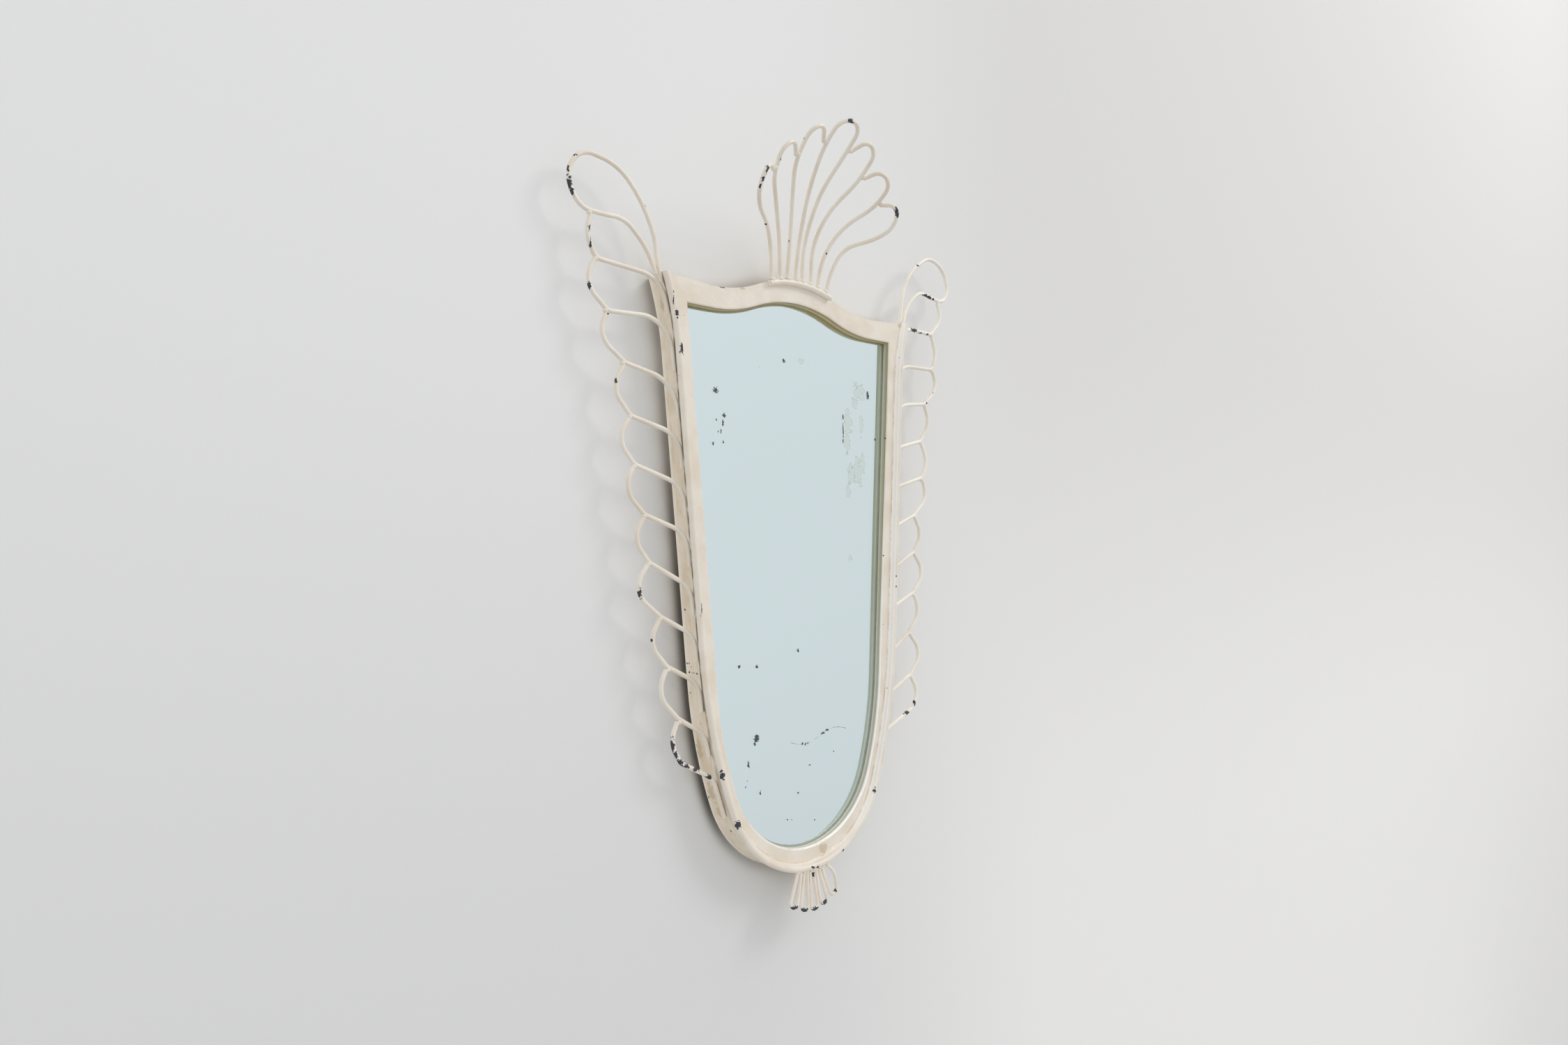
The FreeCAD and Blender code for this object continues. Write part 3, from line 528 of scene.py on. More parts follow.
@dataclass(frozen=True)
class OldSilvering(Finish):
    """Silver deposited on the back of the glass, with black pits, lifted pale scabs, a scratch and a
    painted reflection at the edge.
    """

    pits: Spots
    scabs: Spots
    reflection_patches: Spots
    name: str = "old_silvering"
    silver: str = "F3FBFC"
    scab: str = "ECF3EC"
    scab_edge: str = "A9B1A8"
    # Painted reflection of the lit olive rebate: yellower at the top and whiter low down.
    rebate_reflection: str = "F2F2DC"
    rebate_reflection_top: str = "F0E2B4"
    rebate_reflection_low: str = "FFFFF8"
    pit: str = "4A4C55"
    coarse_size: Grain = grain(7.0, 4.0)
    coarse: Ramp = (0.25, 0.75, -0.6, 0.6)
    fine_size: Grain = grain(1.6, 3.0)
    fine: Ramp = (0.25, 0.75, -0.55, 0.55)
    scab_rim: Ramp = (1.1, 1.03, 0.0, 0.85)
    scab_inside: Ramp = (1.03, 0.96)
    pitted: Ramp = (1.08, 0.96)
    dot_cell_mm: float = 26.0
    dot: Ramp = (0.03, 0.015)
    dot_strength: Ramp = (0.7, 0.9, 0.0, 0.7)
    # The painted reflection of the lit olive rebate, as far inwards as the mark on the silvering's corners
    # says, and at three places more.
    margin_mm: float = 7.6
    margin_soft_mm: float = 0.4
    paint_edge: Ramp = (1.05, 0.95)
    margin_rise: Ramp = mm_ramp(-550.0, -200.0)
    margin_top: Ramp = mm_ramp(-30.0, 10.0)
    polish: Ramp = (0.0, 1.0, 0.02, 0.5)
    # The scratch is a broken sine wave.
    scratch_middle_mm: tuple[float, float] = (33.0, -480.8)
    scratch_swing_mm: float = 6.8
    scratch_half_wave_mm: float = 54.0
    scratch_wobble_mm: float = 0.35
    scratch_reach: Ramp = mm_ramp(52.0, 46.0)
    scratch_line: Ramp = mm_ramp(0.4, 0.1, 0.0, 0.8)
    scratch_gap: Grain = grain(7.0, 3.0)
    scratch_broken: Ramp = (0.42, 0.52)

    def sockets(self, tree: Tree, place: Socket) -> dict[str, Input]:
        """Give the shader's inputs."""
        height = add(tree, "SeparateXYZ", place).outputs["Z"]
        coarse = blotches(tree, place, self.coarse_size, self.coarse)
        fine = blotches(tree, place, self.fine_size, self.fine)
        lifted = add(tree, "Math", nearness(tree, place, self.scabs), coarse, operation="ADD")
        eaten = add(tree, "Math", nearness(tree, place, self.pits), fine, operation="ADD")
        reflection_zone = self.painted_reflection_mask(tree, place)
        edge = layered(
            tree,
            linear(self.rebate_reflection_low),
            (add(tree, "MapRange", height, *self.margin_rise), self.rebate_reflection),
            (add(tree, "MapRange", height, *self.margin_top), self.rebate_reflection_top),
        )
        colour = layered(
            tree,
            linear(self.silver),
            (add(tree, "MapRange", lifted, *self.scab_rim), self.scab_edge),
            (add(tree, "MapRange", lifted, *self.scab_inside), self.scab),
            (add(tree, "MapRange", eaten, *self.pitted), self.pit),
            (self.scratch(tree, place, fine), self.pit),
            (dots(tree, place, self.dot_cell_mm, self.dot, self.dot_strength), self.scab_edge),
        )
        return {
            # Painted reflection: where the mask says, a dull diffuse olive stands in for the silver.
            "Base Color": add(tree, "Mix", reflection_zone, colour, edge),
            "Metallic": add(tree, "Math", 1.0, reflection_zone, operation="SUBTRACT"),
            "Roughness": add(tree, "MapRange", reflection_zone, *self.polish),
        }

    def painted_reflection_mask(self, tree: Tree, place: Socket) -> Node:
        """Give the mask of the painted reflection of the olive rebate along the edge, and at three places
        more.
        """
        inwards = add(tree, "Attribute", attribute_name=MARGIN).outputs["Fac"]
        rebate_reflection = (self.margin_mm + self.margin_soft_mm, self.margin_mm - self.margin_soft_mm)
        rebate_reflection = add(tree, "MapRange", inwards, *rebate_reflection)
        more = add(tree, "MapRange", nearness(tree, place, self.reflection_patches), *self.paint_edge)
        return add(tree, "Math", rebate_reflection, more, operation="MAXIMUM")

    def scratch(self, tree: Tree, place: Socket, fine: Node) -> Node:
        """Give the mask of the long wavy scratch in the lower half."""
        axes = add(tree, "SeparateXYZ", place).outputs
        middle_x, middle_z = (value * MM for value in self.scratch_middle_mm)
        along = add(tree, "Math", axes["X"], middle_x, operation="SUBTRACT")
        turn = add(tree, "Math", along, math.pi / (self.scratch_half_wave_mm * MM), **TIMES)
        turn = add(tree, "Math", turn, operation="SINE")
        line = add(tree, "Math", turn, self.scratch_swing_mm * MM, middle_z, operation="MULTIPLY_ADD")
        away = add(tree, "Math", axes["Z"], line, operation="SUBTRACT")
        away = add(tree, "Math", away, operation="ABSOLUTE")
        away = add(tree, "Math", fine, self.scratch_wobble_mm * MM, away, operation="MULTIPLY_ADD")
        reach = add(tree, "Math", along, operation="ABSOLUTE")
        return product(
            tree,
            add(tree, "MapRange", away, *self.scratch_line),
            add(tree, "MapRange", reach, *self.scratch_reach),
            blotches(tree, place, self.scratch_gap, self.scratch_broken),
        )


@dataclass(frozen=True)
class Hardboard(Finish):
    """Pressed fibre board: brown, matt, with a fine felt of fibres and paler scuffs."""

    name: str = "hardboard"
    brown: str = "6E5238"
    pale: str = "8A6C4C"
    fibre: Grain = grain(1.6, 4.0)
    cloud: Grain = grain(60.0, 3.0)
    share: float = 0.6
    clouded: Ramp = (0.4, 0.8)
    matt: Ramp = (0.3, 0.7, 0.62, 0.8)
    height_mm: float = 0.15

    def sockets(self, tree: Tree, place: Socket) -> dict[str, Input]:
        """Give the shader's inputs."""
        fibre = add(tree, "TexNoise", place, *self.fibre)
        cloud = add(tree, "TexNoise", place, *self.cloud)
        blend = add(tree, "Math", cloud, self.share, **TIMES)
        blend = add(tree, "Math", fibre, self.share, blend, operation="MULTIPLY_ADD")
        blend = add(tree, "MapRange", blend, *self.clouded)
        return {
            "Base Color": layered(tree, linear(self.brown), (blend, self.pale)),
            "Roughness": add(tree, "MapRange", cloud, *self.matt),
            "Normal": add(tree, "Bump", named={"Distance": self.height_mm * MM, "Height": fibre}),
        }


@dataclass(frozen=True)
class DullSteel(Finish):
    """Mild steel, stamped or turned, dulled by years behind a mirror, with a few rust blooms."""

    name: str
    steel: str = "9A968E"
    rust: str = "6B4A33"
    worked: Grain = grain(0.8, 2.0)
    height_mm: float = 0.08
    bloom: Grain = grain(5.0, 5.0)
    rusted: Ramp = (0.6, 0.72)
    bare: Ramp = (0.0, 1.0, 1.0, 0.0)
    dull: Ramp = (0.3, 0.72, 0.35, 0.8)

    def sockets(self, tree: Tree, place: Socket) -> dict[str, Input]:
        """Give the shader's inputs."""
        bloom = add(tree, "TexNoise", place, *self.bloom)
        rusty = add(tree, "MapRange", bloom, *self.rusted)
        worked = add(tree, "TexNoise", place, *self.worked)
        return {
            "Base Color": layered(tree, linear(self.steel), (rusty, self.rust)),
            "Metallic": add(tree, "MapRange", rusty, *self.bare),
            "Roughness": add(tree, "MapRange", bloom, *self.dull),
            "Normal": add(tree, "Bump", named={"Distance": self.height_mm * MM, "Height": worked}),
        }


def dress(piece: Piece, material: Material) -> None:
    """Give a piece one material, in all its slots."""
    if not piece.material_slots:
        piece.data.materials.append(material)
    for slot in piece.material_slots:
        slot.material = material


def loose_copy(piece: Piece, name: str) -> Piece:
    """Copy a CAD node into a free piece with its own mesh and no material."""
    copy = piece.copy()
    copy.data = piece.data.copy()
    copy.parent = None
    for key in list(copy.keys()):
        del copy[key]
    copy.name = name
    copy.data.name = name
    copy.data.materials.clear()
    bpy.context.scene.collection.objects.link(copy)
    return copy


def select_only(*pieces: Piece) -> None:
    """Select these pieces alone, the first one active."""
    bpy.ops.object.select_all(action="DESELECT")
    for piece in pieces:
        piece.select_set(True)
    bpy.context.view_layer.objects.active = pieces[0]


def settle(piece: Piece) -> None:
    """Put a piece's place into its mesh."""
    select_only(piece)
    bpy.ops.object.transform_apply(location=True, rotation=True, scale=True)


@dataclass(frozen=True)
class Joint:
    """A place where two wires are welded.

    Attributes:
        place: the middle of the gap between them, in metres.
        across: the direction from one wire to the other.
    """

    place: Vector
    across: Vector


def joints_between(first: Piece, second: Piece, reach: float, spacing: float) -> list[Joint]:
    """Find the places where two pieces come close.

    Args:
        first: the piece that the other one meets.
        second: the piece whose corners are looked at.
        reach: the widest gap that counts, in metres.
        spacing: how far two places lie apart at least, in metres.

    Returns:
        One joint for each place.
    """
    mesh = first.data
    tree = BVHTree.FromPolygons([v.co for v in mesh.vertices], [p.vertices for p in mesh.polygons])
    groups: list[list[tuple[Vector, Vector]]] = []
    for corner in (v.co for v in second.data.vertices):
        nearest, _, _, gap = tree.find_nearest(corner, reach)
        if nearest is None or gap > reach:
            continue
        middle = (nearest + corner) / 2
        for group in groups:
            if (group[0][0] - middle).length < spacing:
                group.append((middle, corner - nearest))
                break
        else:
            groups.append([(middle, corner - nearest)])
    joints = []
    for group in groups:
        place = sum((pair[0] for pair in group), Vector()) / len(group)
        across = sum((pair[1] for pair in group), Vector())
        joints.append(Joint(place, across.normalized() if across.length > 0 else Vector((0, 0, 1))))
    return joints


def hand_in(piece: Piece, slot: str) -> None:
    """Let a new piece ride on the frame, and log its faces with the name of a slot."""
    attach(piece, FRAME_BODY)
    log.info("%s: %d faces on %s", piece.name, len(piece.data.polygons), slot)


@dataclass
class WeldBead:
    """The lump of weld and paint where two wires meet."""

    radius: float = 3.15 * MM
    squash: float = 0.95
    lump: float = 0.12 * MM
    scatter: float = 0.4
    outward: float = 0.8
    seed: int = 7
    fineness: int = 3
    rounding: float = 0.5
    passes: int = 2
    model: Piece | None = None

    def shaped(self) -> Piece:
        """Model one bead, once."""
        if self.model is not None:
            return self.model
        bpy.ops.object.select_all(action="DESELECT")
        bpy.ops.mesh.primitive_ico_sphere_add(subdivisions=self.fineness, radius=self.radius)
        bead = bpy.context.active_object
        bead.name = "bead_model"
        bpy.ops.object.mode_set(mode="EDIT")
        bpy.ops.mesh.select_all(action="SELECT")
        bpy.ops.transform.resize(value=(1.0, 1.0, self.squash))
        bpy.ops.transform.vertex_random(
            offset=self.lump, uniform=self.scatter, normal=self.outward, seed=self.seed
        )
        bpy.ops.mesh.vertices_smooth(factor=self.rounding, repeat=self.passes)
        bpy.ops.object.mode_set(mode="OBJECT")
        bpy.ops.object.shade_smooth()
        self.model = bead
        return bead

    def set_at(self, joints: list[Joint], owner: str, enamel: Material) -> None:
        """Copy the bead to each joint, and join the copies into one piece of the frame.

        Args:
            joints: the places.
            owner: the sub-assembly, which names the piece and its slot.
            enamel: the piece's finish.
        """
        model = self.shaped()
        copies = []
        for joint in joints:
            copy = model.copy()
            copy.data = model.data.copy()
            turn = joint.across.to_track_quat("Z", "Y").to_matrix().to_4x4()
            copy.matrix_world = Matrix.Translation(joint.place) @ turn
            bpy.context.scene.collection.objects.link(copy)
            copies.append(copy)
        bpy.context.view_layer.update()
        select_only(*copies)
        bpy.ops.object.join()
        piece = bpy.context.active_object
        piece.name = f"{owner}_beads"
        piece.data.name = piece.name
        settle(piece)
        dress(piece, enamel)
        hand_in(piece, f"{owner}_enamel")

    def clear(self) -> None:
        """Remove the model."""
        if self.model is not None:
            bpy.data.objects.remove(self.model)
            self.model = None


@dataclass
class Face:
    """The flat face, its rim bar and the rail."""

    nodes: dict[str, Piece]
    chips: Spots = patches(
        (-186, -38.6, -6.1, 1.8, 3, 4.8), (-180.2, -38.6, -42.7, 2.3, 3, 5.6),
        (-190.5, -38, 12, 0.7, 1.5, 9), (-134.9, -38.4, -500.5, 3.2, 3.4, 4.6),
        (-113.4, -38.8, -557, 3.6, 3.6, 4.8), (110, -38.5, -556.6, 1.8, 2, 3.8),
        (50.9, -38.9, -617.9, 1.8, 2, 2), (-0.5, -38.9, -626.6, 2.4, 2, 1.6),
        (6.6, -38.7, -628.2, 2.2, 2, 1.6), (-116.6, -32, 35.9, 3.2, 2.2, 1.2),
        (160.7, -39, -292.6, 1, 1, 1.3), (160.1, -39.1, -306, 1, 1, 1.2),
        (145.6, -31.8, -266.5, 0.9, 0.9, 1), (156, -30.1, -114.7, 1, 1.2, 1.2),
        (-159.9, -39.2, -321.8, 0.5, 0.8, 5),
    )
    stains: Spots = patches(
        (23.6, -32, -610.4, 7, 3, 6.5), (188.7, -32.1, 36.5, 4, 3, 4),
        (-160.7, -38.8, -327.7, 1.6, 1.6, 1.8), (-193.5, -32.5, 22, 3, 3, 5), (-46, -33, 55, 4, 3, 4),
        (-86, -32, 39.6, 5, 2.5, 2),
    )

    def build(self) -> None:
        """Dress the nodes."""
        enamel = Enamel(
            "face_oil_enamel",
            self.chips,
            self.stains,
            mm_ramp(-31.6, -30.4),
            inner_olive=True,
            # Painted shade and dirt in the corners, a light tan on the face.
            corner_shade_and_dirt="D6BC96",
            corner_reach=1.3 * MM,
        ).make()
        for name in ("face_sides", "face_top_rail", "rim_bar"):
            dress(self.nodes[name], enamel)
            log.info("%s dressed", name)


@dataclass
class Shell:
    """The deep side strip with the corner plates and lugs behind it, and the rebate."""

    nodes: dict[str, Piece]
    chips: Spots = patches(
        (-151.2, -5, -390.5, 1, 1.1, 1), (-151.2, -9.8, -390.9, 1, 0.8, 0.8),
        (-151.2, -13.4, -390.7, 1, 0.8, 0.8), (-151.2, -18.2, -391.2, 1, 1.2, 1.1),
        (-151.7, -9.4, -384.1, 1, 0.9, 0.9), (-152, -6.2, -380.5, 1, 0.9, 0.9),
        (-152, -2.5, -380.7, 1, 0.9, 0.9), (-156.5, -6.2, -321.8, 1, 0.9, 0.9),
        (-149.4, -4.5, -412.7, 1, 0.9, 0.9), (-108.5, -20.2, -567.9, 1.2, 1.2, 0.9),
        (-124.9, -2.6, -530.3, 1.2, 0.9, 1.1),
    )
    stains: Spots = patches(
        (-140, -6, -475, 5, 5, 16), (-126.5, -10, -522, 6, 6, 18), (-119, -14, -545, 6, 6, 9),
        (-186, -12, 8, 4, 3, 12),
    )

    def build(self) -> None:
        """Dress the nodes."""
        enamel = Enamel(
            "shell_oil_enamel",
            self.chips,
            self.stains,
            mm_ramp(-25.6, -27.0),
            streaky=True,
            cream="E6D9C4",
            shaded_cream="D8C9AF",
            mottle=grain(30.0, 4.0),
            seam_gap=grain(15.0, 3.0),
        ).make()
        for name in ("side_wall", "top_wall", "hanger_plates", "board_lugs"):
            dress(self.nodes[name], enamel)
        olive = OlivePaint().make()
        for name in ("rebate_sides", "rebate_top"):
            dress(self.nodes[name], olive)
        log.info("shell and rebate dressed")


@dataclass
class Wing:
    """One wing of bent wire with the weld beads at its joints."""

    nodes: dict[str, Piece]
    side: Side
    chips: Spots
    bead: WeldBead
    reach: float = WELD_REACH
    spacing: float = 14.0 * MM

    def wires(self) -> list[Piece]:
        """Give the wing's wires, the upper one first."""
        stem = f"{self.side.value}_wing_wire_"
        return [self.nodes[f"{stem}{number:02d}"] for number in range(1, WIRES + 1)]

    def build(self) -> None:
        """Dress the wires and add the beads."""
        cream, shaded = WING_CREAMS_RIGHT_LIT[self.side]
        name = f"{self.side.value}_wing_oil_enamel"
        enamel = Enamel(name, self.chips, cream=cream, shaded_cream=shaded).make()
        wires = self.wires()
        joints = []
        for upper, lower in zip(wires, wires[1:]):
            joints += joints_between(upper, lower, self.reach, self.spacing)
        for wire in wires:
            dress(wire, enamel)
        self.bead.set_at(joints, f"{self.side.value}_wing", enamel)


@dataclass
class Crest:
    """The seven arches, their base rod and the beads at their feet and tips."""

    nodes: dict[str, Piece]
    bead: WeldBead
    chips: Spots = patches(
        (-107.5, -100.1, 149.2, 2.6, 3.2, 5.4), (-110.5, -96.8, 141, 1.6, 2.2, 4),
        (-4.9, -129.5, 224, 4, 4, 4), (-1.5, -129, 221.5, 3, 3.4, 3), (105.9, -101.1, 152.5, 3.4, 4, 4.5),
        (108, -100.3, 148, 3, 3.4, 4), (-71.5, -55.8, 109.9, 1.1, 2, 7),
        (-110.5, -91.2, 134.6, 1, 1.6, 5), (-86.5, -98.9, 167.8, 1.1, 1.4, 1.3),
        (-56.1, -105.6, 197.7, 1, 1.2, 1), (-22, -42.8, 103.8, 1, 1.3, 1.8),
        (37.8, -46.2, 99.7, 0.9, 1, 1),
    )
    reach: float = WELD_REACH
    spacing: float = 9.0 * MM

    def build(self) -> None:
        """Dress the wires and add the beads."""
        enamel = Enamel("crest_oil_enamel", self.chips).make()
        rod = self.nodes["crest_base_rod"]
        joints = []
        chains = [
            [f"crest_arch_{side.value}_{name}" for name in ARCHES] + ["crest_arch_centre"] for side in Side
        ]
        arches = sorted({name for chain in chains for name in chain})
        for chain in chains:
            for outer, inner in zip(chain, chain[1:]):
                joints += joints_between(self.nodes[inner], self.nodes[outer], self.reach, self.spacing)
        for name in arches:
            joints += joints_between(rod, self.nodes[name], self.reach, self.spacing)
        for name in arches + ["crest_base_rod"]:
            dress(self.nodes[name], enamel)
        self.bead.set_at(joints, "crest", enamel)


@dataclass
class Tail:
    """Five hairpins under the rim, with the beads at their roots."""

    nodes: dict[str, Piece]
    bead: WeldBead
    chips: Spots = patches(
        (-33.6, -40.7, -665.7, 6, 4, 2.4), (-17.6, -41.3, -672.6, 5.5, 4.5, 4),
        (-0.4, -41.1, -673.5, 5.5, 4, 2.4), (14.8, -39.9, -669.9, 4.8, 4, 2.4),
        (35.4, -38.5, -661.4, 4, 3, 1.6), (1.3, -37.1, -636.2, 1.4, 2.5, 3),
    )
    reach: float = WELD_REACH
    spacing: float = 5.0 * MM

    def build(self) -> None:
        """Dress the hairpins and add the beads."""
        enamel = Enamel("tail_oil_enamel", self.chips).make()
        joints = []
        loops = [self.nodes[f"tail_loop_{number}"] for number in range(1, LOOPS + 1)]
        for loop in loops:
            joints += joints_between(self.nodes["rim_bar"], loop, self.reach, self.spacing)
            dress(loop, enamel)
        self.bead.set_at(joints, "tail", enamel)


def through_pane(*rows: tuple[float, float, float, float]) -> Spots:
    """Make ovals on the silvering that reach through it, from their middles and half sizes."""
    return tuple(Patch((x, PANE_BACK_MM, z), (wide, THROUGH_MM, tall)) for x, z, wide, tall in rows)


@dataclass
class Glazing:
    """The plate glass and the silvering on its back."""

    nodes: dict[str, Piece]
    silver_y: float = -19.65 * MM
    merge: float = 0.001 * MM
    frontal: float = -0.9
    thinness: float = 0.02
    shrink: float = 0.998
    inset_mm: float = 12.0
    pits: Spots = through_pane(
        (-13.5, -33.3, 2.3, 2), (-119.9, -78.9, 3, 3.2), (-108.4, -106.5, 2, 2.2), (-110.4, -115, 1.1, 3),
        (-119.8, -112.4, 0.7, 1.2), (-117.4, -125.4, 0.9, 1.3), (-113.4, -124.4, 0.8, 2),
        (-125.3, -139, 1.4, 1.9), (-110.1, -136.6, 1, 1.9), (133.8, -60.4, 2.1, 4.6),
        (86.6, -92, 0.9, 3.4), (86.4, -109, 0.9, 9.5), (85.9, -122, 0.9, 3), (-92.7, -388.3, 1.7, 1.9),
        (-66.4, -390.4, 1.8, 1.9), (-0.5, -376.9, 1.5, 1.9), (-68.6, -471.5, 3.4, 3.6),
        (-72, -477, 1.5, 2.6), (-82, -499.1, 1.4, 4), (15, -513.2, 1.6, 0.8), (56.1, -502.4, 0.9, 0.9),
        (-5.5, -542.6, 1.5, 1.2), (-64.9, -532.9, 0.9, 2), (-86.8, -523.1, 0.8, 0.8),
        (-23.3, -570.9, 0.8, 0.8), (21.2, -579, 0.9, 0.9), (3.6, -487, 1.2, 1.7), (8.4, -487.6, 1.2, 1.6),
        (12.4, -486.8, 1, 1.5), (38, -478.4, 3, 1.2), (45.5, -475.6, 3.2, 1.1), (145.3, -116.4, 1, 1.6),
        (-84, -516.6, 0.6, 0.6), (-24.4, -570.5, 0.6, 0.6), (-16.6, -571.9, 0.6, 0.6),
    )
    scabs: Spots = through_pane(
        (14.5, -29.9, 3.4, 3.2), (116.6, -58, 9, 9.5), (109, -72, 4, 7), (95, -98, 5.5, 17),
        (93, -121, 5, 12), (120.5, -100, 3, 12), (100, -162.5, 5, 13), (112, -160, 8, 15),
        (121, -148, 3, 11), (93, -185, 3.5, 8), (93.9, -269.3, 3, 4),
    )
    # Painted reflection of the top strip's olive underside, at three places near the top right.
    reflection_patches: Spots = through_pane(
        (38, 31.5, 12, 5), (52, 27, 12, 5), (68, 21.5, 13, 4.6),
    )

    def build(self) -> None:
        """Dress the glass and make the silvering."""
        pane = self.nodes["mirror_glass"]
        dress(pane, PlateGlass().make())
        silver = loose_copy(pane, "silvering")
        select_only(silver)
        bpy.ops.object.mode_set(mode="EDIT")
        bpy.ops.mesh.select_all(action="SELECT")
        bpy.ops.mesh.remove_doubles(threshold=self.merge)
        low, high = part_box("mirror_glass")
        middle = (low + high) / 2
        bpy.ops.transform.resize(value=(self.shrink, self.thinness, self.shrink), center_override=middle)
        bpy.ops.transform.translate(value=(0, self.silver_y - middle.y, 0))
        bpy.ops.object.mode_set(mode="OBJECT")
        self.mark_margin(silver)
        dress(silver, OldSilvering(self.pits, self.scabs, self.reflection_patches).make())
        hand_in(silver, "silvered_glass")

    def mark_margin(self, silver: Piece) -> None:
        """Inset the silvering's front and note how far inwards each corner lies, in millimetres."""
        bpy.ops.object.mode_set(mode="EDIT")
        bpy.ops.mesh.select_mode(type="FACE")
        bpy.ops.mesh.select_all(action="DESELECT")
        bpy.ops.object.mode_set(mode="OBJECT")
        for face in silver.data.polygons:
            face.select = face.normal.y < self.frontal
        bpy.ops.object.mode_set(mode="EDIT")
        bpy.ops.mesh.inset(thickness=self.inset_mm * MM, use_even_offset=True)
        bpy.ops.object.mode_set(mode="OBJECT")
        mesh = silver.data
        inner = {corner for face in mesh.polygons if face.select for corner in face.vertices}
        marks = mesh.attributes.new(MARGIN, "FLOAT", "POINT")
        for number, mark in enumerate(marks.data):
            mark.value = self.inset_mm if number in inner else 0.0


@dataclass
class BackFittings:
    """The backing board with its turn buttons and screws."""

    nodes: dict[str, Piece]

    def build(self) -> None:
        """Dress the nodes."""
        dress(self.nodes["backing_board"], Hardboard().make())
        steel = DullSteel("stamped_steel").make()
        for side in Side:
            for number in range(1, BUTTONS + 1):
                dress(self.nodes[f"turn_button_{side.value}_{number}"], steel)
        turned = DullSteel("turned_steel", steel="B0ACA4", bloom=grain(3.0, 5.0)).make()
        dress(self.nodes["pivot_screws"], turned)
        log.info("back fittings dressed")


@dataclass(frozen=True)
class Shade:
    """The soft shade of a near piece on the wall.

    Attributes:
        tone: its colour.
        reach: how far off a piece still counts, in metres.
        edge: the ramp from the open wall to the full shade.
        share: how strong it is beside the upper part.
        lower_share: how much stronger it is beside the lower part.
    """

    tone: str
    reach: float
    edge: Ramp
    share: float
    lower_share: float


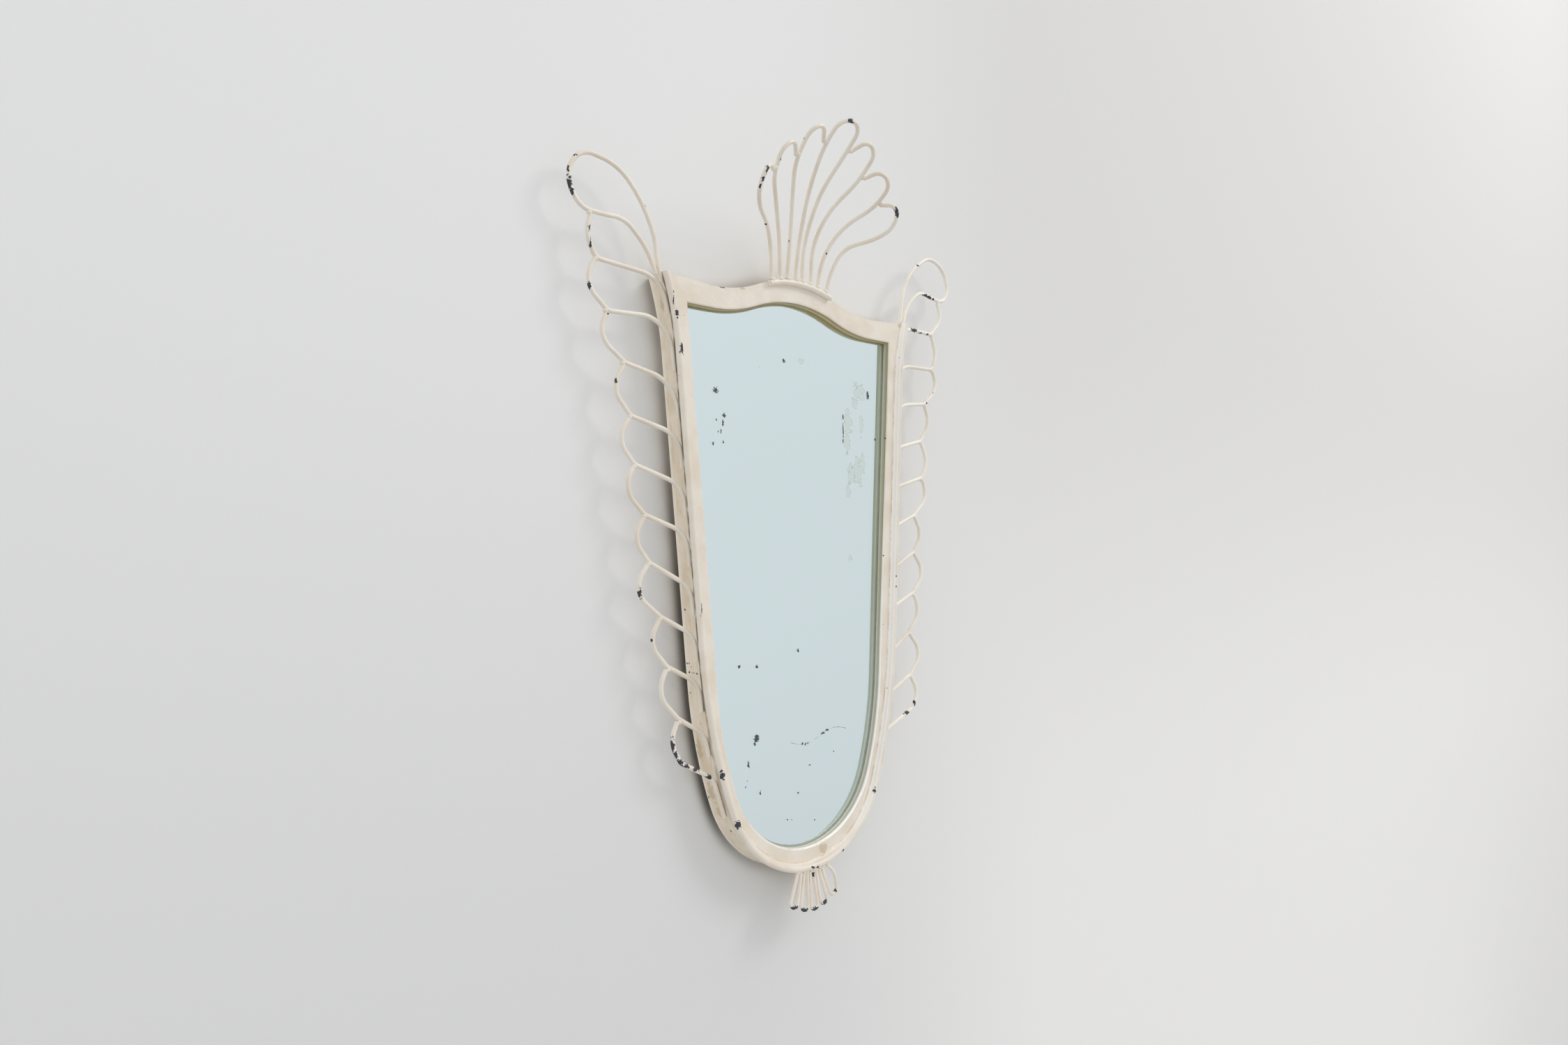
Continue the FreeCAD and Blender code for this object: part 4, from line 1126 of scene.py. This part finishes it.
@dataclass
class Room:
    """A pale wall and floor, the light and the camera of the photograph."""

    eye: Triple = (-0.8671, -0.9098, -0.2752)
    right: Triple = (0.72373, -0.68977, -0.02076)
    up: Triple = (-0.01291, -0.04361, 0.99897)
    lens: float = 24.0
    sensor: float = 36.0
    floor_z: float = -2.6
    floor_size: float = 6.0
    wall_x: float = 1.5
    wall_y: float = 0.8 * MM
    wall_size: float = 60.0
    # Painted light: the wall darkens downwards on the left, lightens downwards on the right, and blends
    # between them.
    left_tones: tuple[str, str] = ("E5E5E4", "D7D7D6")
    right_tones: tuple[str, str] = ("DAD9D7", "E7E6E4")
    downwards: Ramp = (0.25, -0.85)
    sideways: Ramp = (-0.1, 0.6)
    lower_part: tuple[Ramp, Ramp] = ((0.0, -0.35), (-0.62, -0.53))
    shade_samples: int = 12
    shades: tuple[Shade, ...] = (
        Shade("8E8578", 42.0 * MM, (0.78, 0.25), 0.72, 0.2),
        Shade("3A3937", 18.0 * MM, (0.97, 0.55), 0.28, 0.66),
    )
    key_place: Triple = (4.7, -4.3, 4.4)
    key_target: Triple = (0.0, 0.0, -0.2)
    key_size: float = 3.0
    key_power: float = 180.0
    key_colour: Triple = (1.0, 0.985, 0.96)
    sky: str = "FBFCFE"
    glow_x: tuple[float, float] = (0.86, 0.73)
    glow_y: tuple[float, float] = (0.78, 1.0)
    glow_z: tuple[float, float] = (0.1, 1.2)

    def build(self) -> None:
        """Make the room."""
        bpy.context.scene.view_settings.view_transform = "Standard"
        self.place_camera()
        self.make_wall()
        self.light_room()

    def place_camera(self) -> None:
        """Set the camera where the photograph was taken."""
        camera = bpy.data.cameras.new("camera")
        camera.lens = self.lens
        camera.sensor_width = self.sensor
        eye = bpy.data.objects.new("camera", camera)
        right = Vector(self.right).normalized()
        back = right.cross(Vector(self.up)).normalized()
        up = back.cross(right)
        turn = Matrix((right, up, back)).transposed().to_4x4()
        eye.matrix_world = Matrix.Translation(Vector(self.eye)) @ turn
        bpy.context.scene.collection.objects.link(eye)
        bpy.context.scene.camera = eye

    def make_wall(self) -> None:
        """Make the wall behind the mirror and the floor far below it."""
        bpy.ops.object.select_all(action="DESELECT")
        place = (self.wall_x, self.wall_y, 0)
        bpy.ops.mesh.primitive_plane_add(size=self.wall_size, location=place, rotation=(math.pi / 2, 0, 0))
        wall = bpy.context.active_object
        wall.name = "stage_wall"
        settle(wall)
        dress(wall, self.wall_paint())
        bpy.ops.object.select_all(action="DESELECT")
        place = (0, -self.floor_size / 2, self.floor_z)
        bpy.ops.mesh.primitive_plane_add(size=self.floor_size, location=place)
        floor = bpy.context.active_object
        floor.name = "stage_floor"
        settle(floor)
        material, tree = blank("pale_floor")
        add(tree, "OutputMaterial", add(tree, "BsdfDiffuse", linear(self.left_tones[1])))
        dress(floor, material)

    def wall_paint(self) -> Material:
        """Make the wall's paint, with painted light and shade, which only the eye and reflections see, and
        only from the front.
        """
        material, tree = blank("matt_wall_paint")
        axes = add(tree, "SeparateXYZ", add(tree, "TexCoord").outputs["Object"]).outputs
        down = add(tree, "MapRange", axes["Z"], *self.downwards)
        left, right = (
            layered(tree, linear(high), (down, low)) for high, low in (self.left_tones, self.right_tones)
        )
        along = add(tree, "MapRange", axes["X"], *self.sideways)
        colour = add(tree, "Mix", along, left, right)
        lower = product(tree, *(add(tree, "MapRange", axes["Z"], *end) for end in self.lower_part))
        for shade in self.shades:
            near = close_by(tree, shade.reach, shade.edge, self.shade_samples)
            share = add(tree, "Math", lower, shade.lower_share, shade.share, operation="MULTIPLY_ADD")
            colour = layered(tree, colour, (product(tree, near, share), shade.tone))
        path = add(tree, "LightPath").outputs
        seen = add(tree, "Math", path["Is Camera Ray"], path["Is Glossy Ray"], operation="MAXIMUM")
        seen = add(tree, "Math", seen, path["Is Transmission Ray"], operation="MAXIMUM")
        back = add(tree, "NewGeometry").outputs["Backfacing"]
        front = add(tree, "Math", 1.0, back, operation="SUBTRACT")
        shown = product(tree, seen, front)
        clear, paint = add(tree, "BsdfTransparent"), add(tree, "BsdfDiffuse", colour)
        add(tree, "OutputMaterial", add(tree, "MixShader", shown, clear, paint))
        return material

    def light_room(self) -> None:
        """Light the room with a soft sky and one large lamp."""
        world = bpy.data.worlds.new("pale_room")
        world.use_nodes = True
        tree = world.node_tree
        tree.nodes.clear()
        axes = add(tree, "SeparateXYZ", add(tree, "TexCoord").outputs["Generated"]).outputs
        glow = 0.0
        for axis, (minus, plus) in zip("XYZ", (self.glow_x, self.glow_y, self.glow_z)):
            side = add(tree, "Math", axes[axis], 0.0, operation="GREATER_THAN")
            level = add(tree, "Math", side, plus - minus, minus, operation="MULTIPLY_ADD")
            square = add(tree, "Math", axes[axis], axes[axis], **TIMES)
            glow = add(tree, "Math", square, level, glow, operation="MULTIPLY_ADD")
        add(tree, "OutputWorld", add(tree, "Background", linear(self.sky), glow))
        bpy.context.scene.world = world
        lamp = bpy.data.lights.new("key", "AREA")
        lamp.shape = "DISK"
        lamp.size = self.key_size
        lamp.energy = self.key_power
        lamp.color = self.key_colour
        key = bpy.data.objects.new("key", lamp)
        aim = Vector(self.key_target) - Vector(self.key_place)
        turn = aim.to_track_quat("-Z", "Y").to_matrix().to_4x4()
        key.matrix_world = Matrix.Translation(self.key_place) @ turn
        bpy.context.scene.collection.objects.link(key)


LEFT_CHIPS = patches(
    (-308.2, -25, 108.5, 3, 3.5, 8), (-305.9, -24.8, 100.5, 2.6, 3, 5), (-309.5, -25, 124, 1, 2, 4),
    (-303, -25.2, 140, 3, 2, 2), (-285.6, -26.2, 68.6, 2, 2.4, 3.2), (-286.7, -24.5, 9, 1.8, 2.6, 4.2),
    (-256.2, -26, -82.6, 1, 1.8, 3.2), (-230.6, -24.6, -303, 2.4, 3, 6),
    (-191.6, -25, -462, 2.6, 3.2, 6.5), (-187.7, -24.5, -473.9, 2.8, 3.2, 6),
    (-182, -25.5, -481.5, 4, 3.2, 4), (-174, -26, -486.8, 3.6, 3, 2.6), (-160, -26, -491, 5, 3, 2.4),
    (-143.7, -26.1, -502.5, 3.6, 3, 3.2), (-216.1, -25.1, -351.3, 0.9, 1.6, 1.6),
    (-285, -25.8, 50.8, 1, 1.6, 6), (-216, -25.9, 107.6, 0.9, 1.4, 2),
    (-264.7, -26.2, -15.7, 1.6, 1.6, 1),
)
RIGHT_CHIPS = patches(
    (236.9, -26.2, 126.4, 1.8, 2.2, 1.8), (252.6, -25, 87.5, 6, 3.4, 2.8), (261, -25.6, 86.4, 4, 3, 2.4),
    (225.8, -26, 36.3, 6, 3.4, 3), (240, -26, 34, 3, 2, 1.4), (190.9, -26.2, -471.7, 4.6, 3, 2.8),
    (207.1, -26.2, -460.8, 1.6, 2.6, 4), (268.6, -26.2, 85.8, 2.2, 2, 1.6),
    (254.5, -26.1, 34.7, 1.6, 1.6, 1.5), (248.8, -26.2, -60.5, 1.8, 2, 1.6),
    (263.2, -26.1, -44.8, 0.9, 1.2, 1),
)


def main() -> None:
    """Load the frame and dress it."""
    logging.basicConfig(level=logging.INFO, format="%(name)s: %(message)s")
    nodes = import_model()["nodes"]
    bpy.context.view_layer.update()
    Room().build()
    wire_bead = WeldBead()
    crest_bead = WeldBead(radius=3.7 * MM)
    tail_bead = WeldBead(radius=2.6 * MM)
    parts = [
        Face(nodes),
        Shell(nodes),
        Wing(nodes, Side.LEFT, LEFT_CHIPS, wire_bead),
        Wing(nodes, Side.RIGHT, RIGHT_CHIPS, wire_bead),
        Crest(nodes, crest_bead),
        Tail(nodes, tail_bead),
        Glazing(nodes),
        BackFittings(nodes),
    ]
    for part in parts:
        part.build()
    for bead in (wire_bead, crest_bead, tail_bead):
        bead.clear()


if __name__ == "__main__":
    main()
